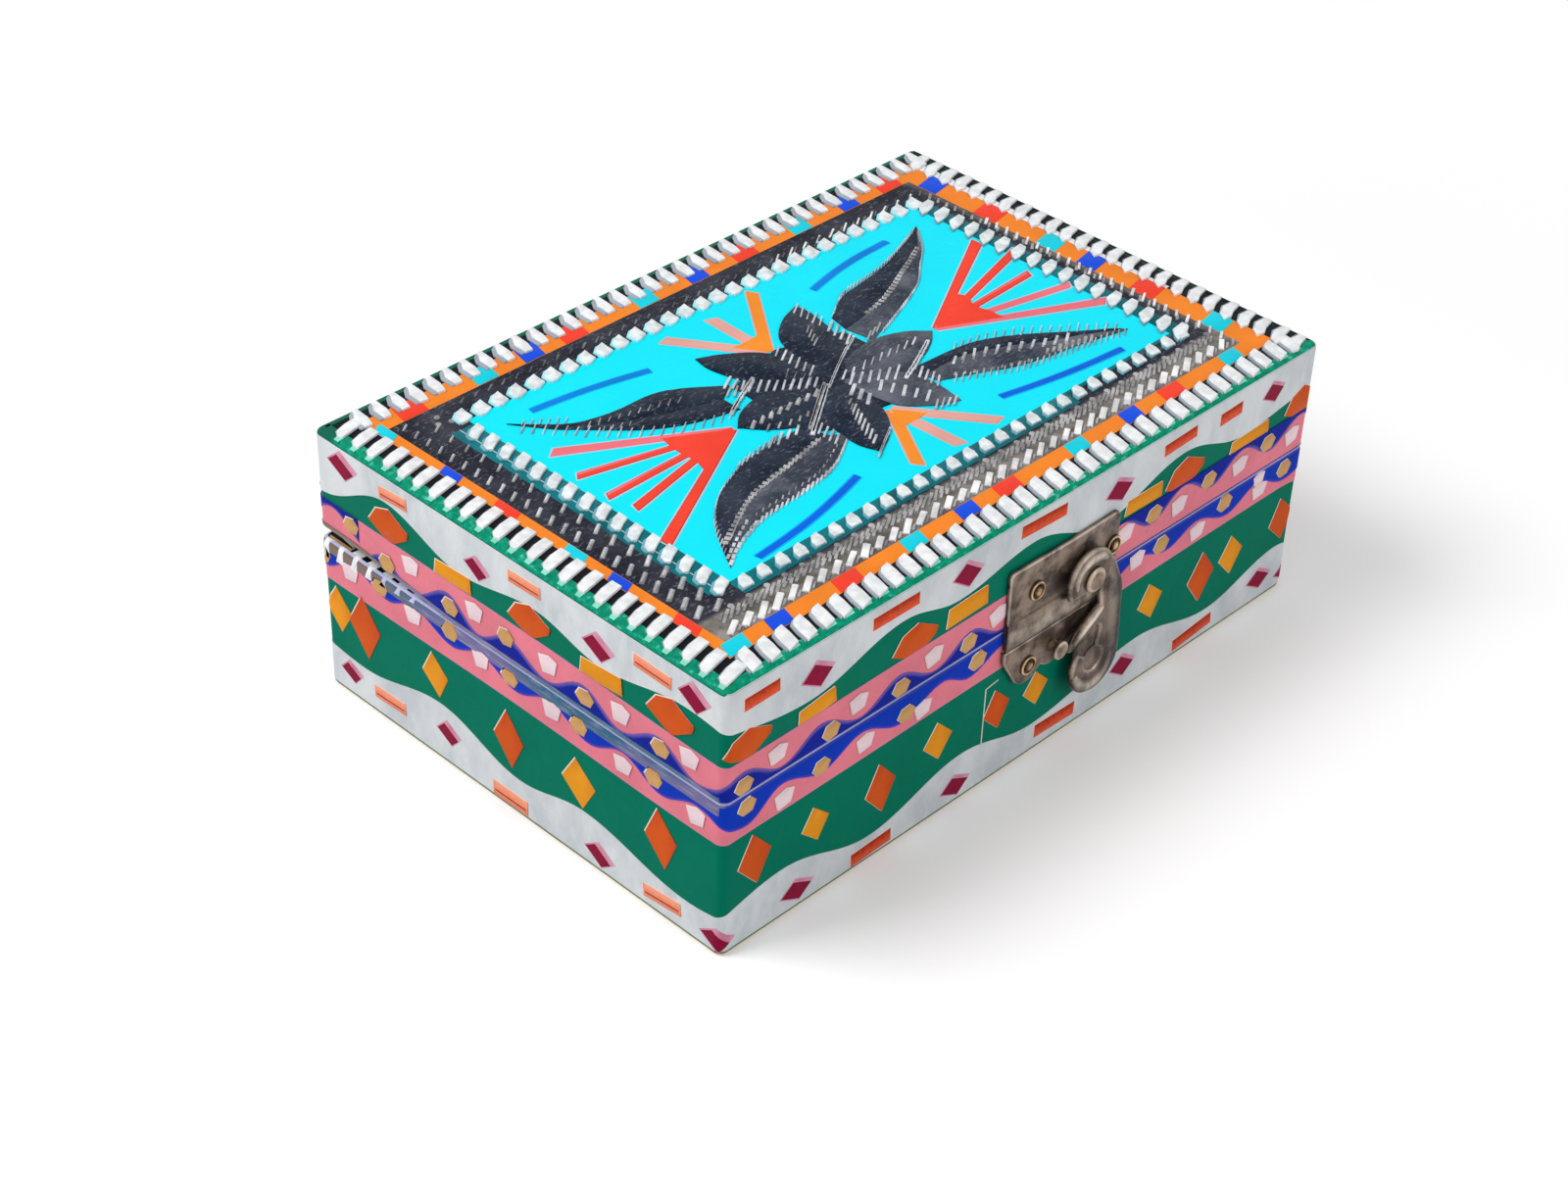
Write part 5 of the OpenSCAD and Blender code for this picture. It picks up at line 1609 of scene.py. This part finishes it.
# A nail head from its rim inwards: distance from the rim, height over the plate, and perhaps its tone, which
# paints a highlight with wear on the ring and the dome
NAIL_PROFILE = [(0.5, -0.8), (0.2, 0), (0, 0.1), (0, 0.36, 0.2), (0.12, 0.52, 0.9), (0.3, 0.56, 0.8),
                (0.48, 0.48), (0.58, 0.24), (0.8, 0.2), (0.9, 0.45), (1.1, 0.7, 0.1), (1.45, 0.86, 0.8),
                (1.85, 0.9, 0.8)]


def front(x, z, out):
    """Point of the latch at out in front of the middle of the box."""
    return x, -out, z


def lathe(form, centre, profile):
    """Round form about a line through centre towards the front, from (radius, out) pairs. A third number
    is the tone there."""
    rows = [form.row([front(x, z, out) for x, z in arc(centre, radius, 0, 350, 35)], tone[0] if tone else 0.0)
            for radius, out, *tone in profile]
    form.tube(rows)


def nail_heads(name, places, body, node):
    """Round nail heads with a raised ring, a groove and a domed middle."""
    form = Form()
    for at in places:
        lathe(form, at, [(NAIL_HEAD - inward, PLATE_Y + out, *tone) for inward, out, *tone in NAIL_PROFILE])
    piece(name, form, [NAIL], body, "nail_brass", [node], 60)


def clasp_parts():
    """Plate on the lid with its rolled ridge, which hangs over the seam."""
    form = Form()
    (x0, _, foot), (x1, _, top_edge) = CLASP_LOW, CLASP_HIGH
    ridge_top, ridge_end = 34.3, 16.3
    waist = foot + 0.2
    shape = ([(x0 + 0.2, waist), (x1 - 0.6, waist), (x1, waist + 0.8)]
             + arc((x1 - 1.2, top_edge - 1.2), 1.2, 0, 90, 4) + [(lerp(x1, x0, 0.45), top_edge - 0.25)]
             + arc((x0 + 1, top_edge - 1), 1, 90, 180, 4) + [(x0 + 0.15, ridge_top)])
    pad(form, shape, LATCH_Y, PLATE_Y, 0.35, 4, front, base=0.4, wear_and_highlight_tone=0.6)
    ridge_half = (ridge_top - foot) / 2
    steps = 24
    rows = []
    for i in range(steps + 1):
        x = lerp(x0 + 0.1, ridge_end, i / steps)
        lift = 0.95 * min(1, 3 * min(i, steps - i) / steps + 0.3)
        section = [(foot + ridge_half - ridge_half * math.cos(angle) * 0.97,
                    PLATE_Y - 0.1 + lift * math.sin(angle) ** 0.8) for angle in HALF_ROUND]
        section = [(foot + 0.1, LATCH_Y + 0.4)] + section + [(ridge_top - 0.1, LATCH_Y + 0.4)]
        # Tones paint a highlight along the ridge's crest
        tones = [0.0] + [0.3 * math.sin(angle) ** 4 for angle in HALF_ROUND] + [0.0]
        rows.append(form.row([front(x, z, out) for z, out in section], tones))
    form.tube(rows)
    piece("clasp_plate_metal", form, [BRONZE], "lid", "bronze", ["clasp_plate"], 50)
    nail_heads("clasp_nail_heads", CLASP_NAILS, "lid", "clasp_plate_nails")
    form = Form()
    # The rivet's tones paint a highlight on its ring and dome
    lathe(form, PIVOT, [(2.2, PLATE_Y - 0.3), (2.2, HOOK_Y), (1.25, HOOK_Y), (1.25, HOOK_FACE + 0.05),
                        (2.4, HOOK_FACE + 0.05), (2.5, HOOK_FACE + 0.18), (2.4, HOOK_FACE + 0.4, 0.3),
                        (1.95, HOOK_FACE + 0.62, 0.6), (1.7, HOOK_FACE + 0.58, 0.1), (1.5, HOOK_FACE + 0.7),
                        (0.8, HOOK_FACE + 0.83), (0.05, HOOK_FACE + 0.85)])
    piece("clasp_rivet_head", form, [KNOB], "lid", "nail_brass", ["clasp_rivet"], 60)


def catch_parts():
    """Lobed plate on the base, with its nails and the post that the hook goes round."""
    x0, x1 = CLASP_LOW[0], CLASP_HIGH[0]
    top_edge = box_mm("catch_plate")[1][2]
    left, right = CATCH_NAILS
    shape = ([(x1, top_edge), (x0, top_edge), (x0 + 0.1, 26), (x0 + 0.9, 24.6)]
             + arc(left, 3.9, 200, 300, 8) + [(0.2, 20.6)] + arc(POST, 3.9, 225, 315, 8)
             + [(8, 21.9), (12.6, 21.7)] + arc(right, 2.9, 235, 340, 7) + [(x1 - 0.1, 24.8)])
    form = Form()
    pad(form, shape, LATCH_Y, PLATE_Y, 0.35, 4, front, base=0.4, wear_and_highlight_tone=0.5)
    piece("catch_plate_metal", form, [BRONZE], "base", "bronze", ["catch_plate"], 50)
    nail_heads("catch_nail_heads", CATCH_NAILS, "base", "catch_plate_nails")
    form = Form()
    # The post's tones paint a highlight on its rim
    lathe(form, POST, [(1.3, PLATE_Y - 0.3), (1.2, PLATE_Y + 0.2), (1.1, PLATE_Y + 0.5),
                       (1.1, HOOK_FACE - 0.8), (1.7, HOOK_FACE - 0.65), (1.8, HOOK_FACE - 0.45, 0.7),
                       (1.7, HOOK_FACE - 0.2, 0.7), (1.2, HOOK_FACE - 0.04, 0.1), (0.05, HOOK_FACE, 0.1)])
    piece("catch_post_metal", form, [KNOB], "base", "nail_brass", ["catch_post"], 60)


def hook_point(x, z):
    """Point of the hook from its distance off the rivet."""
    return PIVOT[0] + x, PIVOT[1] + z


def ridge(form, line, half_width, low, high, tone):
    """Rounded ridge along a line on the latch, lower towards its ends. Its tone paints a highlight along its
    crest.
    """
    rows = []
    for i, at in enumerate(line):
        ahead = line[min(i + 1, len(line) - 1)] - line[max(i - 1, 0)]
        side = left_of(ahead).normalized()
        full = math.sin(math.pi * lerp(0.06, 0.94, i / (len(line) - 1))) ** 0.5
        section = []
        for angle in HALF_ROUND:
            across = at - side * math.cos(angle) * half_width * full
            section.append(front(across.x, across.y, low + (high - low) * math.sin(angle) * full))
        rows.append(form.row(section, [tone * full * math.sin(angle) ** 5 for angle in HALF_ROUND]))
    form.tube(rows)


def hook():
    """Swing hook: an eye on the rivet, a bar down its right, a beak and a finger curl with a sunk field."""
    eye = arc((-0.3, 0.2), 5.9, 208, 25, 18)
    bar = [(5.9, 1.9), (8.7, -4.1), (9.15, -6), (9.9, -18.6)]
    curl = arc((3.4, -19.8), 6.5, -2, -218, 24)
    hole = arc((2.6, -18.8), 2.3, 145, 439, 18)
    beak = [(3.7, -12.4), (3.1, -11.5), (-2.1, -13.15), (-3.9, -14.35), (-4.8, -14.05), (-4.8, -13.2),
            (-3.1, -10.9), (3.2, -7.2)]
    mouth = [(3.9, -12.2), (1.2, -11.9), (-2.4, -13.6), (-2.6, -16.2), (0.4, -18.2), (4.2, -17.4)]
    shape = [hook_point(*p) for p in eye + bar + curl + hole + beak + [(2.7, -4.8), (2.6, -2.7)]]
    form = Form()
    pad(form, shape, HOOK_Y, HOOK_FACE - 0.25, 0.7, 5, front, base=0.25, wear_and_highlight_tone=0.35)
    field = arc(hook_point(2.6, -18.8), 2.8, 0, 345, 23)
    pad(form, field, HOOK_Y + 0.1, lerp(HOOK_Y, HOOK_FACE, 0.5), 0.1, 1, front)
    pad(form, [hook_point(*p) for p in mouth], HOOK_Y + 0.1, lerp(HOOK_Y, HOOK_FACE, 0.35), 0.2, 2, front)
    # Ridges, each with the tone of its painted highlight
    for places, half_width, tone in (
            ([(-4.0, -1.6), (-4.2, 1.2), (-3.0, 3.4), (-0.6, 4.3), (2.2, 3.9), (4, 2.2)], 1.5, 0.75),
            ([(4.2, 1.6), (5.4, -2.2), (6.2, -7), (6.8, -13), (7.0, -17.6), (6.8, -20)], 1.9, 0.3),
            ([(7.4, -18), (6.8, -21.8), (4.2, -24.3), (0.8, -24), (-1.6, -21.8), (-2, -19.6)], 1.5, 0.75),
            ([(4.6, -7.6), (1.2, -9.4), (-1.6, -11.2), (-3.8, -13.2)], 1.3, 1.0)):
        line = smooth_line([hook_point(*p) for p in places])
        ridge(form, line, half_width, HOOK_FACE - 0.6, HOOK_FACE, tone)
    piece("clasp_hook_metal", form, [HOOK_BRONZE], "hook", "bronze", ["clasp_hook"], 50)


clasp_parts()
catch_parts()
hook()


# Hinges keep their CAD form, with their edges eased

for node in ("hinge_lower_leaves", "hinge_upper_leaves", "hinge_lower_screws", "hinge_upper_screws",
             "hinge_pins"):
    made = dress(node, BRASS)
    weld = made.modifiers.new("weld", "WELD")
    weld.merge_threshold = 0.002 * MM
    bevel = made.modifiers.new("bevel", "BEVEL")
    bevel.width = 0.1 * MM
    bevel.segments = 2
    bevel.limit_method = "ANGLE"
    bevel.angle_limit = math.radians(50)


# Felt on the floor

def felt():
    """Sheet of felt with an uneven surface and rounded edges."""
    low, high = box_mm("floor_felt")
    cols, rows = 56, 36
    form = Form()
    grid = []
    for j in range(rows + 1):
        line = []
        for i in range(cols + 1):
            x, y = lerp(low[0], high[0], i / cols), lerp(low[1], high[1], j / rows)
            edge_drop = 0 if min(i, cols - i, j, rows - j) > 0 else 0.25
            line.append((x, y, high[2] - DICE.uniform(0, 0.06) - edge_drop))
        grid.append(form.row(line))
    for a, b in zip(grid, grid[1:]):
        form.span(a, b, closed=False)
    rim = grid[0] + [line[-1] for line in grid[1:]] + grid[-1][-2::-1] + [line[0] for line in grid[-2:0:-1]]
    under = form.row([(*form.points[i][:2], low[2]) for i in rim])
    form.span(rim, under)
    form.face(under)
    look = Look("maroon_felt", 0.95)
    fluff = look.noise(1600, 4, 0.7)
    look.paint(look.mix(look.remap(fluff, 0.35, 0.7), srgb(84, 18, 30), srgb(138, 40, 54)))
    look.shader.inputs["Sheen Weight"].default_value = 0.4
    look.bump([(fluff, 0.8, 0.3)])
    made = piece("floor_felt_sheet", form, [look.material], "base", "felt", ["floor_felt"], 60)


felt()


# Stage, light and camera

def stage():
    """White floor that keeps the object's shadow and is bright where it is seen."""
    mesh = bpy.data.meshes.new("floor")
    reach = 4
    corners = [(-reach, -reach, 0), (reach, -reach, 0), (reach, reach, 0), (-reach, reach, 0)]
    mesh.from_pydata(corners, [], [(0, 1, 2, 3)])
    look = Look("white_floor", 0.9, shine=0)
    look.paint(srgb(250, 250, 250))
    away = look.node("ShaderNodeVectorMath", operation="LENGTH")
    look.link(look.where, away.inputs[0])
    lift = look.math("MULTIPLY", look.seen_by("Is Camera Ray", "Is Glossy Ray"),
                     look.remap(away.outputs["Value"], 0.2, 1.1, 0.12, 0.6))
    look.shader.inputs["Emission Color"].default_value = (1, 1, 1, 1)
    look.link(lift, look.shader.inputs["Emission Strength"])
    mesh.materials.append(look.material)
    add_object("floor", mesh)


def world(fill):
    """White surroundings, dimmer where they light the object than where they are seen."""
    made = bpy.data.worlds.new("studio")
    bpy.context.scene.world = made
    nodes = Nodes(made)
    background = nodes.tree.nodes["Background"]
    background.inputs["Color"].default_value = (1, 1, 1, 1)
    seen = nodes.seen_by("Is Camera Ray", "Is Glossy Ray", "Is Transmission Ray")
    nodes.link(nodes.remap(seen, 0, 1, fill, 1), background.inputs["Strength"])


def lamp(name, place, size, power):
    """Square lamp that is aimed at the middle of the box."""
    aim = Vector((0, 0, 0.03))
    data = bpy.data.lights.new(name, "AREA")
    data.shape = "SQUARE"
    data.size = size
    data.energy = power
    made = add_object(name, data)
    made.location = place
    made.rotation_euler = (aim - Vector(place)).to_track_quat("-Z", "Y").to_euler()


def camera():
    """The photograph's viewpoint, as three directions of the picture: right, down and forward."""
    right, down, forward = (Vector(v) for v in (
        (0.70107, -0.71236, 0.03247), (-0.40363, -0.43395, -0.80546), (0.58787, 0.55158, -0.59176)))
    place = (-0.32411, -0.29429, 0.33039)
    data = bpy.data.cameras.new("camera")
    data.sensor_width = 36
    data.lens = 66.97
    data.clip_start = 0.01
    data.clip_end = 20
    made = add_object("camera", data)
    turned = Matrix((right, -down, -forward)).transposed()
    made.matrix_world = Matrix.Translation(place) @ turned.to_4x4()
    bpy.context.scene.camera = made


stage()
world(0.5)
lamp("key", (-0.55, 0.35, 0.9), 0.5, 7.1)
lamp("front_fill", (0.2, -0.9, 0.5), 0.6, 2.0)
camera()

bpy.context.scene.view_settings.view_transform = "Standard"
